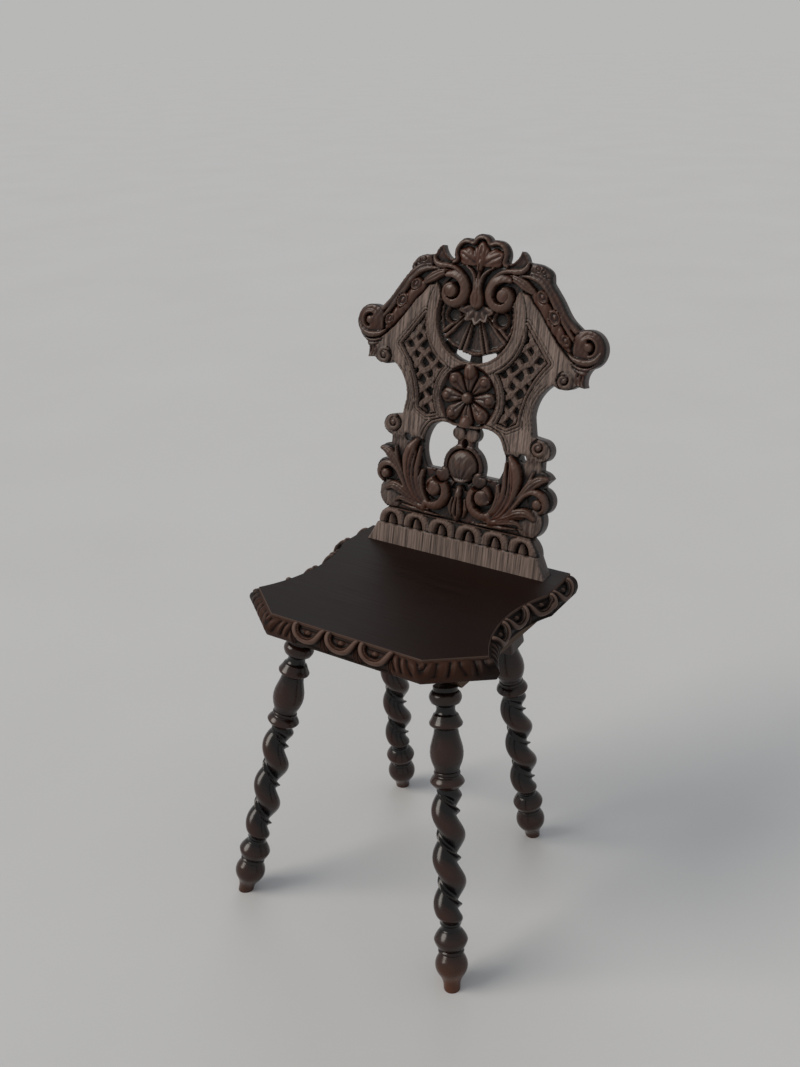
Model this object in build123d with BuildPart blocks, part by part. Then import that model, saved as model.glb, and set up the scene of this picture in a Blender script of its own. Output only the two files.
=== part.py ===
"""Carved board chair: a plank seat on two battens, four twist turned legs and one carved, pierced back."""
import os
from math import atan2, ceil, cos, degrees, pi, radians, sin, tan

from build123d import *

os.makedirs("parts", exist_ok=True)

# Fits
fit_gap = 0.1
head_gap = 0.3

# Seat plank: top face half widths, and where each lies from front to back
seat_height = 450
seat_thickness = 30
front_half = 116
front_y = -151.6
corner_half = 179
corner_y = -102.6
waist_half = 149
waist_y = 0.4
hip_half = 166
hip_y = 72.4
rear_half = 164
rear_y = 143.4
edge_roll = 12.5
lip_height = 3
ovolo_radius = 11
under_round = 4

# Battens
batten_x = 103.5
batten_width = 58
batten_depth = 38
batten_front_y = -116.6
batten_rear_set = 8
batten_bevel = 28
tongue_width = 49
tongue_flare = 4
tongue_height = 10

# Legs: where each axis meets the floor and the underside of the seat
front_foot_x = 176
front_foot_y = -194.3
front_head_x = 109.5
front_head_y = -91.3
rear_foot_x = 120
rear_foot_y = 130.2
rear_head_x = 93.5
rear_head_y = 75.7
foot_radius = 11
foot_straight = 8
bulb_radius = 21
bulb_middle = 31
bulb_top = 49
bulb_neck_radius = 15.5
fillet_width = 5
bead_radius = 21
bead_length = 30
neck_radius = 14
neck_length = 4
twist_eccentric = 4.7
twist_radius = 16.7
twist_turns = 2.9
twist_run_in = 14
twist_step = 5
upper_bead_length = 23
baluster_length = 55
baluster_belly = 24
baluster_top_radius = 15
collar_radius = 21.4
collar_length = 18
cove_radius = 12
cove_length = 14
crown_bead_length = 16
crown_neck_radius = 15.8
pommel_side = 38
tenon_radius = 12

# Wedges in the leg tenons
wedge_thick = 4
wedge_thin = 1
wedge_depth = 30

# Back board: raked, with its front face on the seat top at back_y, and thinner towards its top
back_y = 102.5
back_rake = 12.1
back_thickness = 26
back_top_thickness = 13

# Outline of the back, right half, as (u across, v up the board) from the middle of its foot
plinth_foot = (144.5, 0)
plinth_shoulder = (130, 28.5)
band_swell = (126, 42)
band_end = (116, 52)
lobe_swell = (132, 74)
lobe_end = (129, 88)
curl_swell = (141.5, 102)
curl_end = (124.5, 124)
leaf_tip = (136.5, 137)
leaf_swell = (130.5, 143)
leaf_end = (120.5, 145.5)
neck_top = (120, 158)
roundel_swell = (132.5, 174)
roundel_end = (119, 188)
side_foot = (103, 190)
side_waist = (98.5, 214)
side_top = (125, 262)
drop_swell = (142, 257)
drop_end = (158, 264.5)
spike_tip = (169.5, 263)
spike_hollow = (168.5, 276)
ear_foot = (175, 288)
ear_swell = (192, 313)
ear_top = (156, 335)
arm_hollow = (141, 346.5)
arm_middle = (122, 372)
hump_foot = (108, 389)
hump_side = (105, 402)
hump_swell = (92, 410)
hump_top = (70, 413)
tip_swell = (62, 424.5)
tip_top = (50, 427)
tip_hollow = (46, 418.5)
crest_foot = (40, 413)
crest_swell = (37.5, 430)
crest_step = (14, 435.5)
crown_swell = (8, 442)
crown_top = (0, 444)

# Openings and carved grounds of the back, in the same coordinates
ring_v = 334
ring_radius = 60
shell_v = 338
shell_radius = 52
gap_from_angle = -84
gap_to_angle = 14
ball_v = 130
ball_radius = 32
ball_from_angle = -14
ball_to_angle = 64
trefoil_foot = (14, 167)
trefoil_swell = (21, 177)
trefoil_top = (17, 186)
oval_top = (38, 189)
oval_shoulder = (55, 181)
oval_side = (65.5, 152)
oval_foot = (57, 122)
drill_place = (92, 159)
drill_radius = 5.5
lattice_top = (78, 334)
lattice_outer = (115, 288)
lattice_side = (88, 245)
lattice_low = (79, 203)
lattice_cusp = (64, 195)
lattice_inner_low = (47, 199)
lattice_belly = (55, 230)
lattice_inner = (40, 265)
lattice_shoulder = (67, 290)
lattice_middle = (64, 253)
lattice_pitch = 17
lattice_hole = 11.5
lattice_rows = 9
lattice_angle = 45

# Carving of the back: how far the grounds are sunk and the forms stand above them, from the plain field
carving_room = 20
carving_root = 11
edge_clear = 1
upper_sunk = 5
lower_sunk = 5.5
lower_foot = 53
lower_top = 161
lower_half = 150
strap_sunk = 2.4
hole_sunk = 10
rosette_sunk = 4.5
shell_sunk = 8.8
stem_sunk = 9
band_sunk = 4.8
cup_sunk = 6.8
field_line = (
    (0, 352), (56, 352), (62, 358), (70, 363), (84, 358),
    (98, 345), (110, 330), (120, 316), (130, 305), (150, 292),
)
ground_edge = ((152, 318), (134, 345), (112, 372), (94, 386), (70, 394), (44, 397))
crest_ground = ((35.5, 412), (32, 426), (13.5, 431), (8, 437.5), (0, 439.5))
tip_middle = (57, 413)
tip_radius = 7

# Rosette: petals with a pearl near each tip, a bud above and below, and a button
rosette_v = 227
rosette_radius = 44
petal_count = 8
petal_long = 42
petal_half = 9.5
petal_pearl_at = 33.5
pearl_radius = 5.4
petal_rise = 0.3
top_bud = ((0, 251), (9, 263), (0, 274), (-9, 263))
low_bud = ((0, 180), (9, 191), (0, 203), (-9, 191))
button_radius = 5

# Scrolls, ears and curls: rings round an eye
top_eye = (38.5, 367.5)
top_scroll_middle = (36.5, 369.5)
top_scroll = 24.5
low_eye = (37.5, 93)
low_scroll = 24
scroll_hole = 13.5
scroll_rise = 4.4
eye_radius = 9
eye_rise = 5
ear_eye = (168.4, 315.6)
ear_scroll = 20.4
ear_hole = 10.5
ear_eye_radius = 7.2
curl_eye = (124.5, 103.5)
curl_radius = 15
curl_hole = 9.5
curl_eye_radius = 5.4
curl_rise = 3.2

# Arms: both edges of the band along the outline, between the ear and the top scroll, and the husks inside it
arm_outer = ((153, 333), (139, 345), (120, 370.5), (105, 388), (88, 398), (66, 401), (46, 400))
arm_inner = ((40, 387), (72, 388), (97, 378), (121, 348), (143, 322))
arm_rise = 1.5
husk_places = ((68, 384), (91, 367.5), (116.5, 346), (133.5, 319))
husk_longs = (18, 15, 20, 14.5)
husk_halves = (6, 7.6, 12, 7.4)
husk_slant_angles = (-20, -33, -52, -64)
hump_middle = (88, 402)
hump_long = 18
hump_half = 7
hump_slant_angle = -16

# Drop, trefoil leaf of the crest, and the shell's collar, ribs, lip and side cups
drop_v = 356.5
drop_radius = 10.4
drop_top = 394
drop_rise = 4
crest_leaves = ((0, 420.5), (21, 417))
crest_leaf_radius = 10.5
frame_width = 15
shell_top = 352
pocket_top = 356
collar_reach = 25
collar_sunk = 2
rib_angles = (13.8, 21.2, 44.8, 55.2)
rib_width = 3.2
rib_from = 18
rib_to = 54
rib_sunk = 4.4
lip_width = 4
cup_middle = (37, 335)
cup_radius = 10.5
cup_hole = 7

# Leaves below, each as its root, the arc of one side, its tip and the arc of the other side
main_leaf = ((58, 68), (92, 124), (75, 156), (71, 118))
finger_leaf = ((46, 70), (64, 97), (58, 117), (54, 97))
outer_leaf = ((68, 74), (94, 120), (125, 143), (108, 116))
point_leaf = ((92, 104), (110, 128), (131, 136), (115, 121))
curl_stem = ((72, 71), (91, 99), (112, 116), (96, 94))
low_leaf = ((60, 65), (98, 92.5), (119, 79), (98, 80.5))
stem_leaf = ((42, 59), (72, 70.5), (101, 66), (72, 57))
husk_leaf = ((0, 102), (7.2, 80), (0, 59), (-7.2, 80))
main_leaf_rise = 3.8
leaf_rise = 2.4
lower_lobe = (113.5, 72)
lower_lobe_radius = 16.5

# Stem: ball, rim, neck, two leaf discs and two curls
ball_dome_radius = 22
ball_dome_v = 131
ball_dome_height = 8
ball_dome_sunk = 7
rim_sunk = 6.4
trefoil_disc = (11.2, 176.5)
trefoil_radius = 8.8
stem_half = 24
stem_top = 187
neck_hole_v = 163.5
neck_hole_radius = 4.8
neck_hole_sunk = 16
stem_curl = (29, 113)
stem_curl_radius = 8

# Lunettes in the band above the plinth
lunette_pitch = 43
lunette_count = 6
lunette_radius = 18.6
lunette_hole = 10.2
lunette_foot = 28.5
band_top = 50.5
lunette_bead_half = 5
lunette_bead_top = 44
bead_sunk = 0.8

# Back tenons and their keys
back_tenon_x = 46
back_tenon_width = 36
back_tenon_thickness = 18
back_tenon_shoulder = 4
back_tenon_below = 46
tenon_root = 14
key_width = 14
key_length = 62
key_thick = 20
key_thin = 15
key_draw = 3

# Pins that stop the battens from sliding out
pin_radius = 4
pin_inset = 22
pin_in_seat = 18

seat_under = seat_height - seat_thickness
batten_under = seat_under - batten_depth
batten_top = seat_under + tongue_height
sides = {"left": -1, "right": 1}

back_plane = Plane(
    origin=(0, back_y, seat_height),
    x_dir=(1, 0, 0),
    z_dir=(0, -cos(radians(back_rake)), sin(radians(back_rake))),
)


def save(piece, name):
    """Labels a finished piece and writes it under its own name."""
    piece.label = name
    export_step(piece, f"parts/{name}.step")


def seat_outline(grow):
    """Top face of the seat as a sketch, grown outward by the given width on all but the plain rear edge."""
    with BuildSketch() as face:
        with BuildLine():
            Line((0, front_y), (front_half, front_y))
            Line((front_half, front_y), (corner_half, corner_y))
            ThreePointArc((corner_half, corner_y), (waist_half, waist_y), (hip_half, hip_y))
            Line((hip_half, hip_y), (rear_half, rear_y))
            Line((rear_half, rear_y), (0, rear_y))
            mirror(about=Plane.YZ)
        make_face()
        if grow:
            offset(amount=grow, kind=Kind.INTERSECTION)
            with Locations((0, rear_y)):
                Rectangle(4 * hip_half, 2 * grow, align=(Align.CENTER, Align.MIN), mode=Mode.SUBTRACT)
    return face.sketch


def tongue_profile(side, gap):
    """Dovetail tongue of a batten in section, wider at its top, with a gap all round for the housing."""
    top = batten_top + (head_gap if gap else 0)
    low = tongue_width / 2 + gap
    high = low + tongue_flare * (top - seat_under) / tongue_height
    with BuildSketch(Plane.XZ) as profile:
        with BuildLine():
            Polyline(
                (side * batten_x - low, seat_under),
                (side * batten_x + low, seat_under),
                (side * batten_x + high, top),
                (side * batten_x - high, top),
                close=True,
            )
        make_face()
    return profile.sketch


def leg_plane(side, end):
    """Frame of one leg, on the floor, with its z axis up the leg and its x axis level."""
    foot = Vector(side * front_foot_x, front_foot_y, 0)
    head = Vector(side * front_head_x, front_head_y, seat_under)
    if end == "rear":
        foot = Vector(side * rear_foot_x, rear_foot_y, 0)
        head = Vector(side * rear_head_x, rear_head_y, seat_under)
    axis = (head - foot).normalized()
    level = Vector(0, 1, 0).cross(axis).normalized()
    return Plane(origin=foot, x_dir=level, z_dir=axis)


def leg_reach(plane, height):
    """Distance up a leg's axis at which it passes the given height."""
    return height / plane.z_dir.Z


def tenon_bore(plane, radius):
    """Round leg tenon, or the bore for it, from inside the turned part to well above the batten."""
    start = leg_reach(plane, batten_under) - tenon_radius
    with BuildPart(mode=Mode.PRIVATE) as bore:
        with BuildSketch(plane.offset(start)):
            Circle(radius)
        extrude(amount=leg_reach(plane, batten_top) - start + 2 * tenon_radius)
    return bore.part


def wedge_prism(plane):
    """Tapered wedge across one leg tenon, square to the batten, before it is trimmed to the tenon."""
    top = leg_reach(plane, batten_top) + wedge_thick
    low = leg_reach(plane, batten_top) - wedge_depth
    with BuildPart(mode=Mode.PRIVATE) as prism:
        with BuildSketch(Plane(origin=plane.origin, x_dir=plane.y_dir, z_dir=plane.x_dir)):
            with BuildLine():
                Polyline(
                    (-wedge_thin / 2, low),
                    (wedge_thin / 2, low),
                    (wedge_thick / 2, top),
                    (-wedge_thick / 2, top),
                    close=True,
                )
            make_face()
        extrude(amount=2 * tenon_radius, both=True)
    return prism.part


def back_mortise(side, gap):
    """Straight run of one back tenon in the raked frame of the back, from inside the board to its lower end."""
    below = seat_thickness + back_tenon_below
    with BuildPart(mode=Mode.PRIVATE) as run:
        with BuildSketch(back_plane.offset(-back_tenon_shoulder + gap)):
            with Locations((side * back_tenon_x, tenon_root)):
                Rectangle(
                    back_tenon_width + 2 * gap,
                    below + tenon_root,
                    align=(Align.CENTER, Align.MAX),
                )
        extrude(amount=-back_tenon_thickness - 2 * gap)
    return run.part


def key_prism(side, width, rise):
    """Tapered key under the seat through one back tenon, or the slot for it with some rise for draw."""
    depth = (back_tenon_shoulder + back_tenon_thickness / 2) * cos(radians(back_rake))
    middle = back_y + depth - (seat_thickness + key_thick / 2) * tan(radians(back_rake))
    with BuildPart(mode=Mode.PRIVATE) as prism:
        with BuildSketch(Plane.YZ.offset(side * back_tenon_x - width / 2)):
            with BuildLine():
                Polyline(
                    (middle - key_length / 2, seat_under + rise),
                    (middle + key_length / 2, seat_under + rise),
                    (middle + key_length / 2, seat_under - key_thin),
                    (middle - key_length / 2, seat_under - key_thick),
                    close=True,
                )
            make_face()
        extrude(amount=width)
    return prism.part


def ring_gap():
    """Gap between the round frame and the right half of the shell, which a bridge joins at its foot."""
    with BuildSketch() as gap:
        with BuildLine():
            ring = CenterArc((0, ring_v), ring_radius, gap_from_angle, gap_to_angle - gap_from_angle)
            shell = CenterArc((0, shell_v), shell_radius, gap_from_angle, gap_to_angle - gap_from_angle)
            Line(ring @ 0, shell @ 0)
            Line(ring @ 1, shell @ 1)
        make_face()
    return gap.sketch


def kidney_opening():
    """Right kidney opening, beside the stem that carries a ball and a trefoil."""
    with BuildSketch() as opening:
        with BuildLine():
            ball = CenterArc((0, ball_v), ball_radius, ball_from_angle, ball_to_angle - ball_from_angle)
            Line(ball @ 1, trefoil_foot)
            ThreePointArc(trefoil_foot, trefoil_swell, trefoil_top)
            ThreePointArc(trefoil_top, oval_top, oval_shoulder)
            ThreePointArc(oval_shoulder, oval_side, oval_foot)
            Line(oval_foot, ball @ 0)
        make_face()
    return opening.sketch


def lattice_ground():
    """Sunk ground of the right lattice panel, with a point at the top and hollow sides."""
    with BuildSketch() as ground:
        with BuildLine():
            Line(lattice_top, lattice_outer)
            ThreePointArc(lattice_outer, lattice_side, lattice_low)
            Polyline(lattice_low, lattice_cusp, lattice_inner_low)
            ThreePointArc(lattice_inner_low, lattice_belly, lattice_inner)
            ThreePointArc(lattice_inner, lattice_shoulder, lattice_top)
        make_face()
    return ground.sketch


def disc(centre, radius, hole=0):
    """Round area, or a ring where it has a hole."""
    with BuildSketch() as shape:
        with Locations(centre):
            Circle(radius)
            if hole:
                Circle(hole, mode=Mode.SUBTRACT)
    return shape.sketch


def oval(centre, long, half, angle):
    """Oval area turned by the given angle."""
    with BuildSketch() as shape:
        with Locations(centre):
            Ellipse(long, half, rotation=angle)
    return shape.sketch


def leaf_area(root, side, tip, other):
    """Leaf shape between two arcs from its root to its tip."""
    with BuildSketch() as shape:
        with BuildLine():
            ThreePointArc(root, side, tip)
            ThreePointArc(tip, other, root)
        make_face()
    return shape.sketch


def strip_area(low, high, half):
    """Level strip across the board between two heights."""
    with BuildSketch() as shape:
        with Locations((0, low)):
            Rectangle(2 * half, high - low, align=(Align.CENTER, Align.MIN))
    return shape.sketch


def upper_ground():
    """Sunk ground of the right half above the plain field, inside the arm's band and the rim of the crest."""
    with BuildSketch() as shape:
        with BuildLine():
            Polyline((0, crest_ground[-1][1]), *field_line, *ground_edge, crest_ground[0])
            ThreePointArc(*crest_ground[:3])
            ThreePointArc(*crest_ground[2:])
        make_face()
    return shape.sketch


def lattice_holes():
    """Diamond holes between the straps of the right lattice panel."""
    with BuildSketch() as shape:
        with Locations(Location((*lattice_middle, 0), (0, 0, lattice_angle))):
            with GridLocations(lattice_pitch, lattice_pitch, lattice_rows, lattice_rows):
                Rectangle(lattice_hole, lattice_hole)
        add(lattice_ground(), mode=Mode.INTERSECT)
    return shape.sketch


def arm_band():
    """Moulded band along the upper edge of the right arm."""
    with BuildSketch() as shape:
        with BuildLine():
            Spline(*arm_outer)
            Line(arm_outer[-1], arm_inner[0])
            Spline(*arm_inner)
            Line(arm_inner[-1], arm_outer[0])
        make_face()
    return shape.sketch


def drop_area():
    """Drop between the top scrolls: a round foot that tapers to a point."""
    with BuildSketch() as shape:
        with Locations((0, drop_v)):
            Circle(drop_radius)
        with BuildSketch():
            with BuildLine():
                Polyline((-drop_radius, drop_v), (drop_radius, drop_v), (0, drop_top), close=True)
            make_face()
    return shape.sketch


def shell_ribs():
    """Ribs of the right half of the shell, which fan out from under the drop."""
    with BuildSketch() as shape:
        for angle in rib_angles:
            with Locations(Location((0, shell_top, 0), (0, 0, angle - 90))):
                with Locations((rib_from, 0)):
                    Rectangle(rib_to - rib_from, rib_width, align=(Align.MIN, Align.CENTER))
    return shape.sketch


def top_scroll_ring():
    """Band of the right top scroll, broader on its inner side than its outer one."""
    with BuildSketch() as shape:
        add(disc(top_scroll_middle, top_scroll))
        add(disc(top_eye, scroll_hole), mode=Mode.SUBTRACT)
    return shape.sketch


def petal_turns():
    """Turn of each petal of the rosette from upright, without the places of its two buds."""
    return [360 / petal_count * k for k in range(petal_count) if k % (petal_count // 2)]


def petal_leaves():
    """Petals of the rosette between its two buds."""
    petal = leaf_area((0, 0), (petal_half, petal_pearl_at), (0, petal_long), (-petal_half, petal_pearl_at))
    with BuildSketch() as shape:
        for turn in petal_turns():
            with Locations(Location((0, rosette_v, 0), (0, 0, turn))):
                add(petal)
    return shape.sketch


def pearls():
    """Pearl near the tip of each petal."""
    with BuildSketch() as shape:
        for turn in petal_turns():
            with Locations(Location((0, rosette_v, 0), (0, 0, turn))):
                with Locations((0, petal_pearl_at)):
                    Circle(pearl_radius)
    return shape.sketch


def lunette_areas(radius, hole=0):
    """Round areas in a row along the band above the plinth, cut off at its foot."""
    with BuildSketch() as shape:
        with Locations((0, lunette_foot)):
            with GridLocations(lunette_pitch, 1, lunette_count, 1):
                Circle(radius)
        if hole:
            with Locations((0, lunette_foot)):
                with GridLocations(lunette_pitch, 1, lunette_count, 1):
                    Circle(hole, mode=Mode.SUBTRACT)
        add(strip_area(lunette_foot, band_top, lower_half), mode=Mode.INTERSECT)
    return shape.sketch


def lunette_beads():
    """Pointed bead in each lunette."""
    low = (0, lunette_foot)
    middle = (lunette_foot + lunette_bead_top) / 2
    bead = leaf_area(low, (lunette_bead_half, middle), (0, lunette_bead_top), (-lunette_bead_half, middle))
    with BuildSketch() as shape:
        with GridLocations(lunette_pitch, 1, lunette_count, 1):
            add(bead)
    return shape.sketch


def below_drop(area):
    """Part of an area that lies below the drop and the top scrolls."""
    with BuildSketch() as shape:
        add(area)
        add(strip_area(0, pocket_top, lower_half), mode=Mode.INTERSECT)
    return shape.sketch


def frame_ring():
    """Round frame of the shell, broken by the drop above and the rosette below."""
    with BuildSketch() as shape:
        add(below_drop(disc((0, ring_v), ring_radius + frame_width, ring_radius + edge_clear)))
        add(disc((0, rosette_v), rosette_radius), mode=Mode.SUBTRACT)
    return shape.sketch


def stem_pocket():
    """Set back ground of the stem between the kidney openings."""
    with BuildSketch() as shape:
        add(disc((0, ball_v), ball_radius + edge_clear))
        add(strip_area(neck_hole_v - trefoil_radius, stem_top, stem_half))
    return shape.sketch


def ball_dome():
    """Ball on the stem: a cap of a sphere, cut off by its round edge."""
    sphere_radius = (ball_dome_radius**2 + ball_dome_height**2) / (2 * ball_dome_height)
    with BuildPart(mode=Mode.PRIVATE) as dome:
        with BuildSketch(back_plane.offset(-carving_root)):
            with Locations((0, ball_dome_v)):
                Circle(ball_dome_radius)
        extrude(amount=carving_root + carving_room)
        top = back_plane.offset(ball_dome_height - ball_dome_sunk - sphere_radius)
        with Locations(top * Location((0, ball_dome_v, 0))):
            Sphere(sphere_radius, mode=Mode.INTERSECT)
    return dome.part


def both_hands(*areas):
    """Areas and their mirror images."""
    with BuildSketch() as shape:
        for area in areas:
            add(area)
            mirror(area, about=Plane.YZ)
    return shape.sketch


def pin_bar(side, radius, top):
    """Round pin up through one batten near its rear end."""
    with BuildPart(mode=Mode.PRIVATE) as bar:
        with BuildSketch(Plane.XY.offset(batten_under)):
            with Locations((side * batten_x, rear_y - batten_rear_set - pin_inset)):
                Circle(radius)
        extrude(amount=top - batten_under)
    return bar.part


# Seat plank
pin_top = seat_under + pin_in_seat
with BuildPart() as seat:
    with BuildSketch(Plane.XY.offset(seat_under)):
        add(seat_outline(edge_roll))
    extrude(amount=seat_thickness - lip_height)
    carved = seat.edges().filter_by(lambda e: e.center().Y < rear_y - under_round)
    fillet(carved.group_by(Axis.Z)[-1], ovolo_radius)
    carved = seat.edges().filter_by(lambda e: e.center().Y < rear_y - under_round)
    fillet(carved.group_by(Axis.Z)[0], under_round)
    with BuildSketch(Plane.XY.offset(seat_height - lip_height)):
        add(seat_outline(0))
    extrude(amount=lip_height)
    for side in sides.values():
        housing = Plane.XZ.offset(-batten_front_y + fit_gap)
        with BuildSketch(housing):
            add(tongue_profile(side, fit_gap))
        extrude(amount=-(rear_y - batten_front_y + edge_roll), mode=Mode.SUBTRACT)
        add(back_mortise(side, fit_gap), mode=Mode.SUBTRACT)
        add(pin_bar(side, pin_radius + fit_gap, pin_top + head_gap), mode=Mode.SUBTRACT)
save(seat.part, "seat_board")

# Battens, with bevelled front ends
batten_length = rear_y - batten_rear_set - batten_front_y
for hand, side in sides.items():
    with BuildPart() as batten:
        with BuildSketch(Plane.YZ.offset(side * batten_x - batten_width / 2)):
            with BuildLine():
                Polyline(
                    (batten_front_y, seat_under),
                    (batten_front_y + batten_bevel, batten_under),
                    (batten_front_y + batten_length, batten_under),
                    (batten_front_y + batten_length, seat_under),
                    close=True,
                )
            make_face()
        extrude(amount=batten_width)
        with BuildSketch(Plane.XZ.offset(-batten_front_y)):
            add(tongue_profile(side, 0))
        extrude(amount=-batten_length)
        for end in ("front", "rear"):
            add(tenon_bore(leg_plane(side, end), tenon_radius + fit_gap), mode=Mode.SUBTRACT)
        add(pin_bar(side, pin_radius + fit_gap, batten_top + head_gap), mode=Mode.SUBTRACT)
    save(batten.part, f"batten_{hand}")

# Legs and the wedges in their tenons
front_plane = leg_plane(1, "front")
bead_low = bulb_top + fillet_width
twist_low = bead_low + bead_length + neck_length
crown_length = collar_length + cove_length + crown_bead_length
turned_top = upper_bead_length + baluster_length + crown_length
twist_high = leg_reach(front_plane, batten_under) - turned_top
twist_length = twist_high - twist_low
for hand, side in sides.items():
    for end in ("front", "rear"):
        plane = leg_plane(side, end)
        turning = Plane(origin=plane.origin, x_dir=plane.x_dir, z_dir=-plane.y_dir)
        axis = Axis(plane.origin, plane.z_dir)
        shoulder = leg_reach(plane, batten_under)
        baluster_low = twist_high + upper_bead_length
        baluster_high = baluster_low + baluster_length
        cove_low = baluster_high + collar_length
        crown_low = cove_low + cove_length
        with BuildPart() as leg:
            # Foot, bulb and bead below the twist
            with BuildSketch(turning):
                with BuildLine():
                    Line((0, -foot_radius), (foot_radius, -foot_radius))
                    Line((foot_radius, -foot_radius), (foot_radius, foot_straight))
                    ThreePointArc(
                        (foot_radius, foot_straight), (bulb_radius, bulb_middle), (bulb_neck_radius, bulb_top)
                    )
                    Line((bulb_neck_radius, bulb_top), (bulb_neck_radius, bead_low))
                    ThreePointArc(
                        (bulb_neck_radius, bead_low),
                        (bead_radius, bead_low + bead_length / 2),
                        (neck_radius, bead_low + bead_length),
                    )
                    Line((neck_radius, bead_low + bead_length), (neck_radius, twist_low))
                    Line((neck_radius, twist_low), (0, twist_low))
                    Line((0, twist_low), (0, -foot_radius))
                make_face()
            revolve(axis=axis)
            # Twist: a round strand that circles the axis, left handed, and runs in to the necks
            steps = ceil(twist_length / twist_step)
            for k in range(steps + 1):
                s = twist_length * k / steps
                run_in = min(1, s / twist_run_in, (twist_length - s) / twist_run_in)
                ease = (1 - cos(pi * run_in)) / 2
                turn = -2 * pi * twist_turns * s / twist_length
                reach = twist_eccentric * ease
                with BuildSketch(plane.offset(twist_low + s)):
                    with Locations((reach * cos(turn), reach * sin(turn))):
                        Circle(neck_radius + (twist_radius - neck_radius) * ease)
            loft()
            # Bead and baluster above the twist, then the crown mouldings or the square block
            with BuildSketch(turning):
                with BuildLine():
                    Line((0, twist_high), (neck_radius, twist_high))
                    ThreePointArc(
                        (neck_radius, twist_high),
                        (bead_radius, twist_high + upper_bead_length / 2),
                        (crown_neck_radius, baluster_low),
                    )
                    Spline(
                        (crown_neck_radius, baluster_low),
                        (bead_radius, baluster_low + baluster_belly),
                        (baluster_top_radius, baluster_high),
                    )
                    if end == "front":
                        Line((baluster_top_radius, baluster_high), (collar_radius, baluster_high + fillet_width))
                        ThreePointArc(
                            (collar_radius, baluster_high + fillet_width),
                            (bead_radius, baluster_high + 2 * fillet_width),
                            (crown_neck_radius, cove_low),
                        )
                        ThreePointArc(
                            (crown_neck_radius, cove_low),
                            (cove_radius, cove_low + cove_length / 2),
                            (crown_neck_radius, crown_low),
                        )
                        ThreePointArc(
                            (crown_neck_radius, crown_low),
                            (bead_radius, crown_low + crown_bead_length / 2),
                            (crown_neck_radius, crown_low + crown_bead_length),
                        )
                        Line((crown_neck_radius, crown_low + crown_bead_length), (crown_neck_radius, 2 * shoulder))
                        Line((crown_neck_radius, 2 * shoulder), (0, 2 * shoulder))
                        Line((0, 2 * shoulder), (0, twist_high))
                    else:
                        Line((baluster_top_radius, baluster_high), (0, baluster_high))
                        Line((0, baluster_high), (0, twist_high))
                make_face()
            revolve(axis=axis)
            if end == "rear":
                with BuildSketch(plane.offset(baluster_high)):
                    Rectangle(pommel_side, pommel_side)
                extrude(amount=shoulder)
            split(bisect_by=Plane.XY, keep=Keep.TOP)
            split(bisect_by=Plane.XY.offset(batten_under), keep=Keep.BOTTOM)
            add(tenon_bore(plane, tenon_radius))
            split(bisect_by=Plane.XY.offset(batten_top), keep=Keep.BOTTOM)
            add(wedge_prism(plane), mode=Mode.SUBTRACT)
        save(leg.part, f"leg_{end}_{hand}")
        with BuildPart() as wedge:
            add(wedge_prism(plane))
            add(tenon_bore(plane, tenon_radius), mode=Mode.INTERSECT)
            split(bisect_by=Plane.XY.offset(batten_top), keep=Keep.BOTTOM)
        save(wedge.part, f"wedge_{end}_{hand}")

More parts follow.
